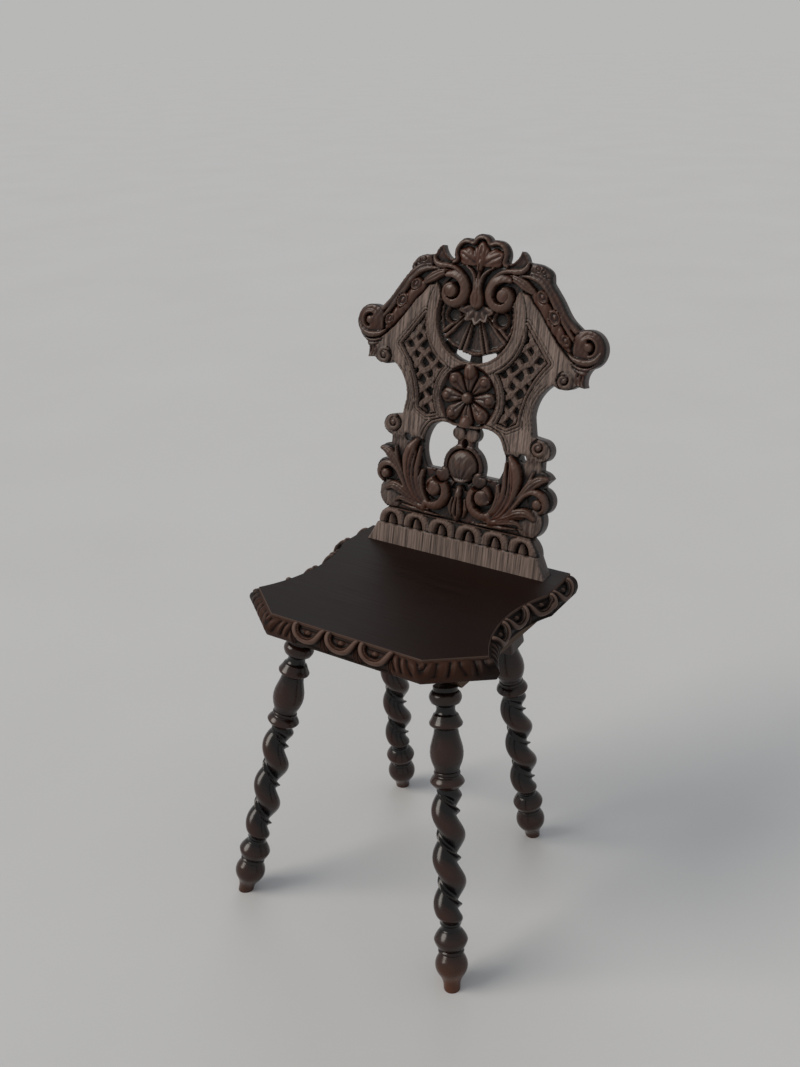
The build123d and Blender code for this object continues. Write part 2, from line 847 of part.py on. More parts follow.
# Back board: outline and openings on its raked front face, carved ground and tenons
plinth_root = -2 * back_thickness * sin(radians(back_rake))
with BuildPart() as back:
    with BuildSketch(back_plane):
        with BuildLine():
            Polyline((0, plinth_root), (plinth_foot[0], plinth_root), plinth_foot, plinth_shoulder)
            ThreePointArc(plinth_shoulder, band_swell, band_end)
            ThreePointArc(band_end, lobe_swell, lobe_end)
            ThreePointArc(lobe_end, curl_swell, curl_end)
            Line(curl_end, leaf_tip)
            ThreePointArc(leaf_tip, leaf_swell, leaf_end)
            Line(leaf_end, neck_top)
            ThreePointArc(neck_top, roundel_swell, roundel_end)
            Polyline(roundel_end, side_foot, side_waist)
            TangentArc(side_waist, side_top, tangent=(0, 1))
            ThreePointArc(side_top, drop_swell, drop_end)
            Line(drop_end, spike_tip)
            ThreePointArc(spike_tip, spike_hollow, ear_foot)
            ThreePointArc(ear_foot, ear_swell, ear_top)
            Spline(ear_top, arm_hollow, arm_middle, hump_foot)
            Spline(hump_foot, hump_side, hump_swell, hump_top)
            ThreePointArc(hump_top, tip_swell, tip_top)
            ThreePointArc(tip_top, tip_hollow, crest_foot)
            ThreePointArc(crest_foot, crest_swell, crest_step)
            ThreePointArc(crest_step, crown_swell, crown_top)
            mirror(about=Plane.YZ)
        make_face()
        for opening in (ring_gap(), kidney_opening()):
            add(opening, mode=Mode.SUBTRACT)
            mirror(opening, about=Plane.YZ, mode=Mode.SUBTRACT)
        u, v = drill_place
        with Locations((-u, v), (u, v)):
            Circle(drill_radius, mode=Mode.SUBTRACT)
    extrude(amount=-back_thickness)
    thinning = degrees(atan2(back_thickness - back_top_thickness, crown_top[1]))
    split(bisect_by=back_plane.offset(-back_thickness).rotated((thinning, 0, 0)), keep=Keep.TOP)
    split(bisect_by=Plane.XY.offset(seat_height), keep=Keep.TOP)
    for side in sides.values():
        add(back_mortise(side, 0))
        add(key_prism(side, key_width + 2 * fit_gap, key_draw), mode=Mode.SUBTRACT)
    # Sunk grounds, each cut down from the plain field
    grounds = (
        (both_hands(upper_ground()), upper_sunk),
        (both_hands(disc(tip_middle, tip_radius)), upper_sunk),
        (strip_area(lower_foot, lower_top, lower_half), lower_sunk),
        (both_hands(lattice_ground()), strap_sunk),
        (both_hands(lattice_holes()), hole_sunk),
        (disc((0, rosette_v), rosette_radius), rosette_sunk),
        (below_drop(disc((0, ring_v), ring_radius - edge_clear)), shell_sunk),
        (stem_pocket(), stem_sunk),
        (strip_area(lunette_foot, band_top, lower_half), band_sunk),
        (lunette_areas(lunette_hole + edge_clear), cup_sunk),
    )
    for area, sunk in grounds:
        with BuildSketch(back_plane.offset(carving_room)):
            add(area)
        extrude(amount=-carving_room - sunk, mode=Mode.SUBTRACT)
    # Forms that stand on the grounds, level by level, clear of the board's edges
    frame = frame_ring()
    lip = below_drop(disc((0, shell_v), shell_radius - edge_clear, shell_radius - lip_width))
    collar = below_drop(disc((0, shell_top), collar_reach))
    shell_cup = disc(cup_middle, cup_radius, cup_hole)
    husks = [oval(*husk) for husk in zip(husk_places, husk_longs, husk_halves, husk_slant_angles)]
    crest = [disc(centre, crest_leaf_radius) for centre in crest_leaves]
    hump = oval(hump_middle, hump_long, hump_half, hump_slant_angle)
    low_leaves = (stem_leaf, low_leaf, curl_stem, outer_leaf, point_leaf, finger_leaf)
    forms = (
        ([disc((0, ball_v), ball_radius - edge_clear, ball_dome_radius - edge_clear)], -rim_sunk),
        ([lip, shell_ribs(), shell_cup, disc(trefoil_disc, trefoil_radius)], -rib_sunk),
        ([collar, disc(lower_lobe, lower_lobe_radius)], -collar_sunk),
        ([disc(stem_curl, stem_curl_radius), lunette_beads()], -bead_sunk),
        ([petal_leaves(), lunette_areas(lunette_radius, lunette_hole)], petal_rise),
        ([frame, hump, arm_band()] + husks + crest, arm_rise),
        ([pearls()] + [leaf_area(*leaf) for leaf in low_leaves], leaf_rise),
        ([leaf_area(*main_leaf), leaf_area(*husk_leaf), leaf_area(*top_bud), leaf_area(*low_bud)], main_leaf_rise),
        ([disc(curl_eye, curl_radius, curl_hole), disc(curl_eye, curl_eye_radius)], curl_rise),
        ([top_scroll_ring(), disc(low_eye, low_scroll, scroll_hole)], scroll_rise),
        ([disc(ear_eye, ear_scroll, ear_hole), drop_area(), disc((0, rosette_v), button_radius)], drop_rise),
        ([disc(top_eye, eye_radius), disc(low_eye, eye_radius), disc(ear_eye, ear_eye_radius)], eye_rise),
    )
    for areas, rise in forms:
        with BuildSketch(back_plane.offset(rise)):
            add(both_hands(*areas))
        extrude(amount=-rise - carving_root)
    add(ball_dome())
    with BuildSketch(back_plane.offset(carving_room)):
        add(disc((0, neck_hole_v), neck_hole_radius))
    extrude(amount=-carving_room - neck_hole_sunk, mode=Mode.SUBTRACT)
save(back.part, "back_board")

# Keys through the back tenons, and the pins of the battens
for hand, side in sides.items():
    with BuildPart() as key:
        add(key_prism(side, key_width, 0))
    save(key.part, f"key_{hand}")
    with BuildPart() as pin:
        add(pin_bar(side, pin_radius, pin_top))
    save(pin.part, f"pin_{hand}")
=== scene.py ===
import math

import bmesh
import bpy
import numpy as np
from mathutils import Matrix


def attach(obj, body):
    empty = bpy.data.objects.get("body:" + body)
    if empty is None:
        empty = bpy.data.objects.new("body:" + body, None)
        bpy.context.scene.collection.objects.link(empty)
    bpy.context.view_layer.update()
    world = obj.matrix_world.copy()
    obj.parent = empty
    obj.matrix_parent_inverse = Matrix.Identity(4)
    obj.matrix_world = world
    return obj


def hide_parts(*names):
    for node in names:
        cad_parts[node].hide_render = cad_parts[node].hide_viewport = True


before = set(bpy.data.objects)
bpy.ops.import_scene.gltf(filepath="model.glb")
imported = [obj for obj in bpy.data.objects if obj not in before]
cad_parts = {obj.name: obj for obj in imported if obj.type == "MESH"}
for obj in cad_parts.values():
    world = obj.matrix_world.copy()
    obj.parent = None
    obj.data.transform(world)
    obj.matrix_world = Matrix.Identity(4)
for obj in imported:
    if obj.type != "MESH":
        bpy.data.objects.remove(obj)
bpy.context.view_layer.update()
print("frame loaded:", len(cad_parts), "nodes")


def linearColour(code):
    # sRGB hex to linear light: a straight line near black, a power of 2.4 above it
    channels = [int(code[k:k + 2], 16) / 255 for k in (1, 3, 5)]
    return [c / 12.92 if c <= 0.04045 else ((c + 0.055) / 1.055) ** 2.4 for c in channels] + [1.0]


def addNode(tree, kind, settings=None, links=None):
    # one node: settings go to its properties or else its inputs, links join its inputs to other outputs
    node = tree.nodes.new(kind)
    for key, value in (settings or {}).items():
        if isinstance(key, str) and hasattr(node, key):
            setattr(node, key, value)
        else:
            node.inputs[key].default_value = value
    for key, source in (links or {}).items():
        tree.links.new(source, node.inputs[key])
    return node


def ease(x):
    # smooth step from 0 to 1: three x squared less two x cubed
    x = np.clip(x, 0, 1)
    return x * x * (3 - 2 * x)


def gridFaces(rows, columns, wrap=False):
    # quads between neighbouring rows and columns of a grid of points, closed round if it wraps
    across = columns if wrap else columns - 1
    r, c = np.meshgrid(np.arange(rows - 1), np.arange(across), indexing="ij")
    here, beside = r * columns + c, r * columns + (c + 1) % columns
    return np.stack([here, beside, beside + columns, here + columns], -1).reshape(-1, 4)


def makePiece(name, points, faceSets, material, nodes, attributes, sharpAngle):
    # millimetre points to a metre mesh at the origin, with its faces, point attributes and sharp edges
    mesh = bpy.data.meshes.new(name)
    mesh.vertices.add(len(points))
    mesh.vertices.foreach_set("co", (points / 1000).astype(np.float32).ravel())
    corners = np.concatenate([faces.ravel() for faces in faceSets])
    sizes = np.concatenate([np.full(len(faces), faces.shape[1]) for faces in faceSets])
    mesh.loops.add(len(corners))
    mesh.loops.foreach_set("vertex_index", corners.astype(np.int32))
    mesh.polygons.add(len(sizes))
    mesh.polygons.foreach_set("loop_start", (np.cumsum(sizes) - sizes).astype(np.int32))
    mesh.polygons.foreach_set("use_smooth", np.ones(len(sizes), bool))
    mesh.update(calc_edges=True)
    mesh.validate()
    for key, values in attributes.items():
        layer = mesh.attributes.new(key, "FLOAT", "POINT")
        layer.data.foreach_set("value", values.astype(np.float32))
    mesh.set_sharp_from_angle(angle=math.radians(sharpAngle))
    mesh.materials.append(material)
    piece = bpy.data.objects.new(name, mesh)
    bpy.context.scene.collection.objects.link(piece)
    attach(piece, "root")
    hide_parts(*nodes)
    return piece


# Camera: stands where the photograph's did, worked out for an image of 800 by 1067
camera = dict(eye=(0.7794, -1.1317, 1.1489), azimuth=35.06, elevation=24.26, roll=-2.23, lens=38.74)
az, el, tilt = (math.radians(camera[key]) for key in ("azimuth", "elevation", "roll"))
awayAxis = np.array([math.sin(az) * math.cos(el), -math.cos(az) * math.cos(el), math.sin(el)])
levelAxis = np.array([math.cos(az), math.sin(az), 0.0])
upAxis = np.cross(awayAxis, levelAxis)
rightAxis = math.cos(tilt) * levelAxis + math.sin(tilt) * upAxis
topAxis = -math.sin(tilt) * levelAxis + math.cos(tilt) * upAxis
cameraData = bpy.data.cameras.new("photoCamera")
cameraData.sensor_width = 36.0
cameraData.lens = camera["lens"]
cameraObject = bpy.data.objects.new("photoCamera", cameraData)
turn = Matrix(np.stack([rightAxis, topAxis, awayAxis], 1).tolist()).to_4x4()
cameraObject.matrix_world = Matrix.Translation(camera["eye"]) @ turn
bpy.context.scene.collection.objects.link(cameraObject)
bpy.context.scene.camera = cameraObject

# Light: a broad soft key from the left and in front, a weaker one from behind, and even sky
bpy.context.scene.view_settings.view_transform = "Standard"
lamps = {
    "windowLight": dict(source=(-1.9, -1.7, 2.1), spread=34.0, strength=1.75, colour="#fff6ec"),
    "farLight": dict(source=(-1.2, 2.0, 2.2), spread=30.0, strength=0.35, colour="#eef3ff"),
}
for name, lamp in lamps.items():
    data = bpy.data.lights.new(name, "SUN")
    data.angle = math.radians(lamp["spread"])
    data.energy = lamp["strength"]
    data.color = linearColour(lamp["colour"])[:3]
    lampObject = bpy.data.objects.new(name, data)
    away = np.array(lamp["source"]) / np.linalg.norm(lamp["source"])
    side = np.cross((0, 0, 1), away)
    side = side / np.linalg.norm(side)
    axes = np.stack([side, np.cross(away, side), away], 1)
    lampObject.matrix_world = Matrix.Translation(lamp["source"]) @ Matrix(axes.tolist()).to_4x4()
    bpy.context.scene.collection.objects.link(lampObject)
# the camera sees the sky in the tone of the far floor, so no horizon shows; all else sees it pale and even
skyLook = dict(light="#f4f6fa", strength=0.5, seen="#b8b8b7")
sky = bpy.data.worlds.new("evenSky")
bpy.context.scene.world = sky
sky.use_nodes = True
tree = sky.node_tree
backdrop = tree.nodes["Background"]
path = addNode(tree, "ShaderNodeLightPath")
mirrored = addNode(tree, "ShaderNodeMath", {"operation": "ADD"},
                   {0: path.outputs["Is Glossy Ray"], 1: path.outputs["Is Transmission Ray"]})
direct = addNode(tree, "ShaderNodeMath", {"operation": "ADD", "use_clamp": True},
                 {0: path.outputs["Is Camera Ray"], 1: mirrored.outputs[0]})
skyLight = [channel * skyLook["strength"] for channel in linearColour(skyLook["light"])[:3]] + [1.0]
skyTone = addNode(tree, "ShaderNodeMix", {"data_type": "RGBA", 6: skyLight, 7: linearColour(skyLook["seen"])},
                  {0: direct.outputs[0]})
tree.links.new(skyTone.outputs[2], backdrop.inputs["Color"])

# Floor: a wide pale slab of matt screed, clouded by the float
floor = dict(size=60.0, tones=("#bebfbe", "#c5c6c6"), cloud=2.0, roughness=0.85, shine=0.2)
floorMaterial = bpy.data.materials.new("palePaintedScreed")
floorMaterial.use_nodes = True
tree = floorMaterial.node_tree
shader = tree.nodes["Principled BSDF"]
shader.inputs["Roughness"].default_value = floor["roughness"]
shader.inputs["Specular IOR Level"].default_value = floor["shine"]
place = addNode(tree, "ShaderNodeTexCoord").outputs["Object"]
cloud = addNode(tree, "ShaderNodeTexNoise", {"Scale": floor["cloud"], "Detail": 4.0}, {"Vector": place})
tones = {6 + k: linearColour(code) for k, code in enumerate(floor["tones"])}
tone = addNode(tree, "ShaderNodeMix", {"data_type": "RGBA", **tones}, {0: cloud.outputs["Fac"]})
tree.links.new(tone.outputs[2], shader.inputs["Base Color"])
floorMesh = bpy.data.meshes.new("floor")
edge = floor["size"] / 2
floorCorners = [(-edge, -edge, 0), (edge, -edge, 0), (edge, edge, 0), (-edge, edge, 0)]
floorMesh.from_pydata(floorCorners, [], [(0, 1, 2, 3)])
floorMesh.materials.append(floorMaterial)
floorObject = bpy.data.objects.new("floor", floorMesh)
bpy.context.scene.collection.objects.link(floorObject)
print("camera, light and floor set")


def oakFinish(name, look):
    # stained oak: grain streaks along one axis, painted shade in the hollows, worn on the ridges, satin sheen
    # grainSize is in millimetres across and along the fibres; pores are coarser than real, or they would vanish
    material = bpy.data.materials.new(name)
    material.use_nodes = True
    tree = material.node_tree
    shader = tree.nodes["Principled BSDF"]
    place = addNode(tree, "ShaderNodeTexCoord").outputs["Object"]
    across, along = look["grainSize"]
    stretch = [1000 / across] * 3
    stretch["xyz".index(look["grainAxis"])] = 1000 / along
    turn = (math.radians(look["lean"]), 0, 0)
    lean = addNode(tree, "ShaderNodeMapping", {"Rotation": turn}, {"Vector": place})
    squeeze = addNode(tree, "ShaderNodeMapping", {"Scale": stretch}, {"Vector": lean.outputs["Vector"]})
    fibre = addNode(tree, "ShaderNodeTexNoise", {"Scale": 1.0, "Detail": 5.0, "Roughness": 0.6},
                    {"Vector": squeeze.outputs["Vector"]})
    streak = addNode(tree, "ShaderNodeMapRange", {1: 0.36, 2: 0.64}, {0: fibre.outputs["Fac"]})
    blotch = {"Scale": 1000 / look["patchSize"], "Detail": 3.0}
    patch = addNode(tree, "ShaderNodeTexNoise", blotch, {"Vector": place})
    patchy = addNode(tree, "ShaderNodeMapRange", {1: 0.40, 2: 0.64}, {0: patch.outputs["Fac"]})
    ridge, plain, rub = [addNode(tree, "ShaderNodeAttribute", {"attribute_name": key}).outputs["Fac"]
                         for key in ("ridge", "plain", "rub")]
    # grain in two shades, under stain and on bare wood
    grain = []
    for dark, pale in (("dark", "mid"), ("bareDark", "bare")):
        shades = {6: linearColour(look[dark]), 7: linearColour(look[pale])}
        grain.append(addNode(tree, "ShaderNodeMix", {"data_type": "RGBA", **shades}, {0: streak.outputs[0]}))
    stain, bare = (node.outputs[2] for node in grain)
    warm = addNode(tree, "ShaderNodeMix", {"data_type": "RGBA", 7: linearColour(look["warm"])},
                   {0: patchy.outputs[0], 6: stain})
    colour = addNode(tree, "ShaderNodeMix", {"data_type": "RGBA"},
                     {0: plain, 6: warm.outputs[2], 7: bare}).outputs[2]
    # then rubbed by hands, worn on the ridges, and painted shade laid dark into the hollows
    high = addNode(tree, "ShaderNodeMapRange", {1: 0.10, 2: 0.85, 4: look["wear"]}, {0: ridge})
    # painted shade: the deeper a hollow sits against its surroundings, the more of the dark hollow colour
    low = addNode(tree, "ShaderNodeMapRange", {1: -0.08, 2: -0.75, 4: look["paintedShade"]}, {0: ridge})
    for amount, shade in ((rub, "rubbed"), (high.outputs[0], "worn"), (low.outputs[0], "hollow")):
        colour = addNode(tree, "ShaderNodeMix", {"data_type": "RGBA", 7: linearColour(look[shade])},
                         {0: amount, 6: colour}).outputs[2]
    tree.links.new(colour, shader.inputs["Base Color"])
    smooth = addNode(tree, "ShaderNodeMapRange", {3: look["gloss"], 4: look["matt"]}, {0: plain})
    rough = addNode(tree, "ShaderNodeMath", {"operation": "MULTIPLY_ADD", 1: look["grainMatt"]},
                    {0: streak.outputs[0], 2: smooth.outputs[0]})
    tree.links.new(rough.outputs[0], shader.inputs["Roughness"])
    shader.inputs["IOR"].default_value = 1.5
    shader.inputs["Specular IOR Level"].default_value = look["shine"]
    shader.inputs["Coat Weight"].default_value = look["wax"]
    shader.inputs["Coat Roughness"].default_value = look["waxRough"]
    bump = addNode(tree, "ShaderNodeBump", {"Strength": look["pores"], "Distance": 0.0006},
                   {"Height": fibre.outputs["Fac"]})
    tree.links.new(bump.outputs["Normal"], shader.inputs["Normal"])
    return material


# what each gives the eye: carved oak is dull on its plain field, satin and redder where hands rub the carving;
# seat oak is waxed and almost black, with a broad soft sheen; turned oak is dark and polished, with sharp
# lights; sawn oak is for the hidden pieces, never stained, pale and matt
# hollow is painted shade: a dark colour laid into the hollows of carving and turning, as strong as the amount
# beside it
finishes = {
    "carvedStainedOak": dict(
        grainAxis="z", lean=12.1, grainSize=(2.4, 70), patchSize=30, dark="#1d120e", mid="#30211b",
        warm="#3a1f15", bareDark="#372b26", bare="#84736a", rubbed="#452315", worn="#58443a", hollow="#080403",
        wear=0.6, paintedShade=0.97, gloss=0.27, matt=0.6, grainMatt=0.1, shine=0.36, wax=0.0, waxRough=0.2,
        pores=0.4),
    "waxedSeatOak": dict(
        grainAxis="x", lean=0, grainSize=(2.6, 110), patchSize=90, dark="#120a07", mid="#211510",
        warm="#1c100b", bareDark="#2c211d", bare="#4a3a33", rubbed="#4a2c1f", worn="#6f5a50", hollow="#080403",
        wear=0.7, paintedShade=0.96, gloss=0.42, matt=0.45, grainMatt=0.1, shine=0.1, wax=0.0, waxRough=0.22,
        pores=0.18),
    "polishedTurnedOak": dict(
        grainAxis="z", lean=0, grainSize=(2.0, 70), patchSize=26, dark="#120b09", mid="#170e0b",
        warm="#24110a", bareDark="#3a2318", bare="#5b3a28", rubbed="#57301a", worn="#3c2216", hollow="#040202",
        wear=0.4, paintedShade=0.94, gloss=0.2, matt=0.4, grainMatt=0.08, shine=0.32, wax=0.15, waxRough=0.12,
        pores=0.07),
    "sawnRawOak": dict(
        grainAxis="y", lean=0, grainSize=(2.4, 80), patchSize=60, dark="#3a2a20", mid="#5a4433",
        warm="#4d3827", bareDark="#4a3829", bare="#6d5642", rubbed="#6d5642", worn="#7a6350", hollow="#1a110b",
        wear=0.5, paintedShade=0.8, gloss=0.6, matt=0.7, grainMatt=0.1, shine=0.3, wax=0.0, waxRough=0.3,
        pores=0.5),
}
materials = {name: oakFinish(name, look) for name, look in finishes.items()}
hiddenNodes = [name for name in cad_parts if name.split("_")[0] in ("batten", "wedge", "key", "pin")]
for name in hiddenNodes:
    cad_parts[name].data.materials.clear()
    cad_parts[name].data.materials.append(materials["sawnRawOak"])
print("finishes ready")


# Legs: turned mouldings as radius against distance up the axis, and a twist with a thin bead in its hollow
legs = dict(rowStep=0.75, columns=72, headZ=420.0, battenUnder=382.0, sink=4.0, levelTo=14.0, twistLow=88.5,
            twistHigh=269.5, turns=2.9, runIn=14, neck=14.0, core=8.4, swell=13.1, strandPower=0.85, bead=7.2,
            beadWidth=0.33, filletRadius=15.0, filletHigh=2.0, crownTop=396.5, crownRadius=15.7,
            blockLow=347.6, blockHalf=19.0, blockCorner=1.36, blockNeck=15.0, blockEase=3.5)
# where each leg's axis meets the floor, and where it lies at the height of its head
legPlaces = {"front": ((176, -194.3), (109.5, -91.3)), "rear": ((120, 130.2), (93.5, 75.7))}
# each moulding: from, to, radius at each end and at its middle, and the two powers that shape its ridge
roundRidge, pointedRidge = (1.7, 0.62), (1.3, 0.8)
legMouldings = [(54, 81, 15.0, 13.4, 22.0, pointedRidge), (81, 88.5, 13.4, 14.0, 12.6, roundRidge),
                (269.5, 287, 13.5, 15.8, 22.2, pointedRidge)]
crownMouldings = [(366, 380, 15.8, 15.8, 11.8, roundRidge), (380, 396.5, 15.8, 15.6, 20.8, roundRidge)]
legFillets = ((51.5, 2.3), (290.0, 2.8))  # middle and half width
# turnings: distances up the leg and the radius at each
footTurning = ((0, 5, 9, 13, 17, 21, 25, 29, 33, 37, 41, 45, 49),
               (10.8, 11.0, 11.5, 12.9, 15.0, 17.6, 19.8, 21.0, 21.3, 20.8, 19.4, 17.2, 15))
bellyTurning = ((293, 297, 304, 311, 317, 324, 332, 340, 347.6),
                (15.8, 16.6, 19.4, 21.1, 21.4, 20.6, 18.4, 16.2, 15))
collarTurning = ((347.6, 348.4, 352.5, 355, 360, 366), (15, 16, 21.0, 21.4, 18.6, 15.8))


def moulding(s, low, high, start, end, middle, ridge):
    # line between the end radii, and on it a ridge: one less a power of the distance from its middle, to
    # another power
    x = (s - (low + high) / 2) / ((high - low) / 2)
    line = start + (end - start) * (x + 1) / 2
    return line + (middle - (start + end) / 2) * np.clip(1 - np.abs(x) ** ridge[0], 0, 1) ** ridge[1]


def turnedRadius(s, end):
    # radius of the plain turning at each distance up the leg, from the moulding, fillet or turning there
    front = end == "front"
    r = np.interp(s, *footTurning)
    for low, high, *shape in legMouldings + (crownMouldings if front else []):
        r = np.where((s >= low) & (s <= high), moulding(s, low, high, *shape), r)
    for middle, half in legFillets:
        swell = np.sqrt(np.clip(1 - ((s - middle) / half) ** 2, 0, 1))
        r = np.where(np.abs(s - middle) < half + 0.3, legs["filletRadius"] + legs["filletHigh"] * swell, r)
    for at, radii in [bellyTurning] + ([collarTurning] if front else []):
        r = np.where((s > at[0]) & (s <= at[-1]), np.interp(s, at, radii), r)
    if front:
        r = np.where(s > legs["crownTop"], legs["crownRadius"], r)
        r = r + 0.9 * np.exp(-(((s - crownMouldings[1][0]) / 1.6) ** 2))
    return r


def makeLeg(hand, sign, end):
    # cylinder grid round a leaning axis: rows go up it, columns round it, radius from the turning or the twist
    (footX, footY), (headX, headY) = legPlaces[end]
    foot = np.array([sign * footX, footY, 0.0])
    axis = np.array([sign * headX, headY, legs["headZ"]]) - foot
    axis = axis / np.linalg.norm(axis)
    level = np.cross((0, 1, 0), axis)
    level = level / np.linalg.norm(level)
    third = np.cross(axis, level)
    top = legs["battenUnder"] / axis[2] + legs["sink"]
    rows = int(top / legs["rowStep"])
    s = np.linspace(0, top, rows)[:, None] + np.zeros((1, legs["columns"]))
    angle = np.linspace(0, 2 * np.pi, legs["columns"], endpoint=False)[None, :] + np.zeros((rows, 1))
    r = turnedRadius(s, end)
    # twist: a cosine swell round the strand's own angle, and a thin bead opposite it
    low, high = legs["twistLow"], legs["twistHigh"]
    phase = angle + 2 * np.pi * legs["turns"] * (s - low) / (high - low)
    off = np.abs((phase + np.pi) % (2 * np.pi) - np.pi)
    strand = legs["core"] + legs["swell"] * (0.5 + 0.5 * np.cos(off)) ** legs["strandPower"]
    strand = strand + legs["bead"] * np.exp(-(((np.pi - off) / legs["beadWidth"]) ** 2))
    runIn = ease(np.minimum(s - low, high - s) / legs["runIn"])
    inTwist = (s > low) & (s < high)
    r = np.where(inTwist, legs["neck"] + (strand - legs["neck"]) * runIn, r)
    if end == "rear":
        # square block with its corners taken off
        square = legs["blockHalf"] / np.maximum(np.abs(np.cos(angle)), np.abs(np.sin(angle)))
        square = np.minimum(square, legs["blockHalf"] * legs["blockCorner"])
        grow = ease((s - legs["blockLow"]) / legs["blockEase"])
        r = np.where(s > legs["blockLow"], legs["blockNeck"] + (square - legs["blockNeck"]) * grow, r)
    # the foot is cut level: its lowest rows slide along the axis until the first lies on the floor
    spoke = np.cos(angle)[..., None] * level + np.sin(angle)[..., None] * third
    cut = -r * spoke[..., 2] / axis[2]
    s = np.where(s < legs["levelTo"], cut + (legs["levelTo"] - cut) * s / legs["levelTo"], s)
    points = foot + s[..., None] * axis + r[..., None] * spoke
    ring = np.arange(legs["columns"])
    caps = np.stack([ring[::-1], (rows - 1) * legs["columns"] + ring])
    # tone: worn where the radius is large, painted shade in the hollows, and rubbed red at the foot
    ridge = np.where(s > 49, np.clip((r - 17.0) / 4.5, -1, 1) - 0.1, np.clip((r - 14.0) / 9, -0.2, 1))
    # painted shade fills the twist's hollows, all but the bead
    ridge = np.where(inTwist & (r < 15.5) & (off < 2.5), -0.8, ridge)
    redness, redTop = (0.9, 52) if (end, hand) == ("front", "right") else (0.5, 40)
    rub = redness * ease((redTop - s) / 40)
    fields = {"ridge": ridge.ravel(), "rub": rub.ravel(), "plain": np.zeros(r.size)}
    faceSets = [gridFaces(rows, legs["columns"], True), caps]
    makePiece(f"twist_leg_{end}_{hand}", points.reshape(-1, 3), faceSets, materials["polishedTurnedOak"],
              [f"leg_{end}_{hand}"], fields, 38)


for hand, sign in (("left", -1), ("right", 1)):
    for end in ("front", "rear"):
        makeLeg(hand, sign, end)
print("legs turned")


def threePointArc(p, q, r, step=1.0):
    # arc of the circle through three points: its centre is where the chords' perpendicular bisectors cross
    p, q, r = (np.array(x, float) for x in (p, q, r))
    a, b = q - p, r - p
    twice = 2 * (a[0] * b[1] - a[1] * b[0])
    centre = p + np.array([b[1] * (a @ a) - a[1] * (b @ b), a[0] * (b @ b) - b[0] * (a @ a)]) / twice
    radius = np.linalg.norm(p - centre)
    angles = [math.atan2(*(x - centre)[::-1]) for x in (p, q, r)]
    whole = 2 * math.pi
    sweep = (angles[2] - angles[0]) % whole
    if (angles[1] - angles[0]) % whole > sweep:
        sweep -= whole
    count = max(3, int(abs(sweep) * radius / step))
    t = angles[0] + sweep * np.linspace(0, 1, count + 1)
    return centre + radius * np.stack([np.cos(t), np.sin(t)], 1)


def flowingCurve(points, step=1.2):
    # cubic spans through the points, each point's slope weighed from the runs either side of it
    p = np.array(points, float)
    t = np.concatenate([[0], np.cumsum(np.linalg.norm(np.diff(p, axis=0), axis=1))])
    run = np.diff(p, axis=0) / np.diff(t)[:, None]
    gap = np.diff(t)
    slope = np.empty_like(p)
    slope[1:-1] = (run[:-1] * gap[1:, None] + run[1:] * gap[:-1, None]) / (gap[1:] + gap[:-1])[:, None]
    slope[0], slope[-1] = run[0], run[-1]
    at = np.linspace(0, t[-1], max(4, int(t[-1] / step)))
    k = np.clip(np.searchsorted(t, at) - 1, 0, len(gap) - 1)
    x = ((at - t[k]) / gap[k])[:, None]
    g = gap[k][:, None]
    return ((2 * x**3 - 3 * x**2 + 1) * p[k] + (x**3 - 2 * x**2 + x) * g * slope[k]
            + (3 * x**2 - 2 * x**3) * p[k + 1] + (x**3 - x**2) * g * slope[k + 1])


def straight(p, q, step=1.0):
    # points from p to q at an even step
    p, q = np.array(p, float), np.array(q, float)
    count = max(1, int(np.linalg.norm(q - p) / step))
    return p + (q - p) * np.linspace(0, 1, count + 1)[:, None]


# Seat: one plank with a lip, a carved rolled edge on all sides but the rear, and two dovetail housings below
seat = dict(top=450.0, thickness=30.0, rearY=143.4, lip=3.0, roll=12.5, lunette=25.0, lunetteDeep=24.0,
            relief=3.6, chamfer=79.8, frontPitch=52.0, frontEnd=78.0, sideFirst=67.5, sidePitch=50.5,
            sideFrom=42.0, sideTo=244.0, battenX=103.5, tongueLow=24.6, tongueHigh=28.7, tongueHeight=10.3,
            housingFront=-116.7)
seatCorners = dict(front=(116, -151.6), corner=(179, -102.6), waist=(149, 0.4), hip=(166, 72.4),
                   rear=(164, 143.4))


def seatPath():
    # right half of the top's edge, from the rear corner to the middle of the front, then its mirror image
    c = seatCorners
    half = [straight(c["rear"], c["hip"]), threePointArc(c["hip"], c["waist"], c["corner"]),
            straight(c["corner"], c["front"]), straight(c["front"], (0, c["front"][1]))]
    right = np.concatenate([half[0]] + [run[1:] for run in half[1:]])
    left = (right * (-1, 1))[::-1]
    return np.concatenate([right, left[1:]])


def edgeCarving(x, y, deep):
    # relief of the seat's edge: x runs along it from the nearest lunette's middle, y down it from the lip
    # a U shaped band round a share q of the lunette's size, a rough cup with a boss in it, and darts between
    q = np.hypot(x / seat["lunette"], y / seat["lunetteDeep"])
    band = np.clip(1 - ((q - 0.85) / 0.2) ** 2, 0, 1) ** 0.35
    crease = np.exp(-(((q - 0.74) / 0.025) ** 2))
    eye = np.sqrt(np.clip(1 - (x / 5.5) ** 2 - ((y - 9) / 5.0) ** 2, 0, 1))
    rough = 0.16 * np.sin(x * 1.9 + 2 * np.sin(y * 0.8)) * np.sin(y * 1.6 + 0.7 * x)
    cup = -0.95 + 0.7 * eye + rough
    dart = np.abs(x) - seat["lunette"]
    spine = np.exp(-((dart / 1.3) ** 2)) + 0.7 * np.exp(-(((np.abs(dart) - 3.6) / 1.1) ** 2))
    spine = spine * ease((y - 7) / 6)
    relief = np.where(q > 1.05, -0.8 + 0.75 * spine, np.maximum(cup, -0.9 + 1.9 * band - 0.6 * crease))
    return relief * deep


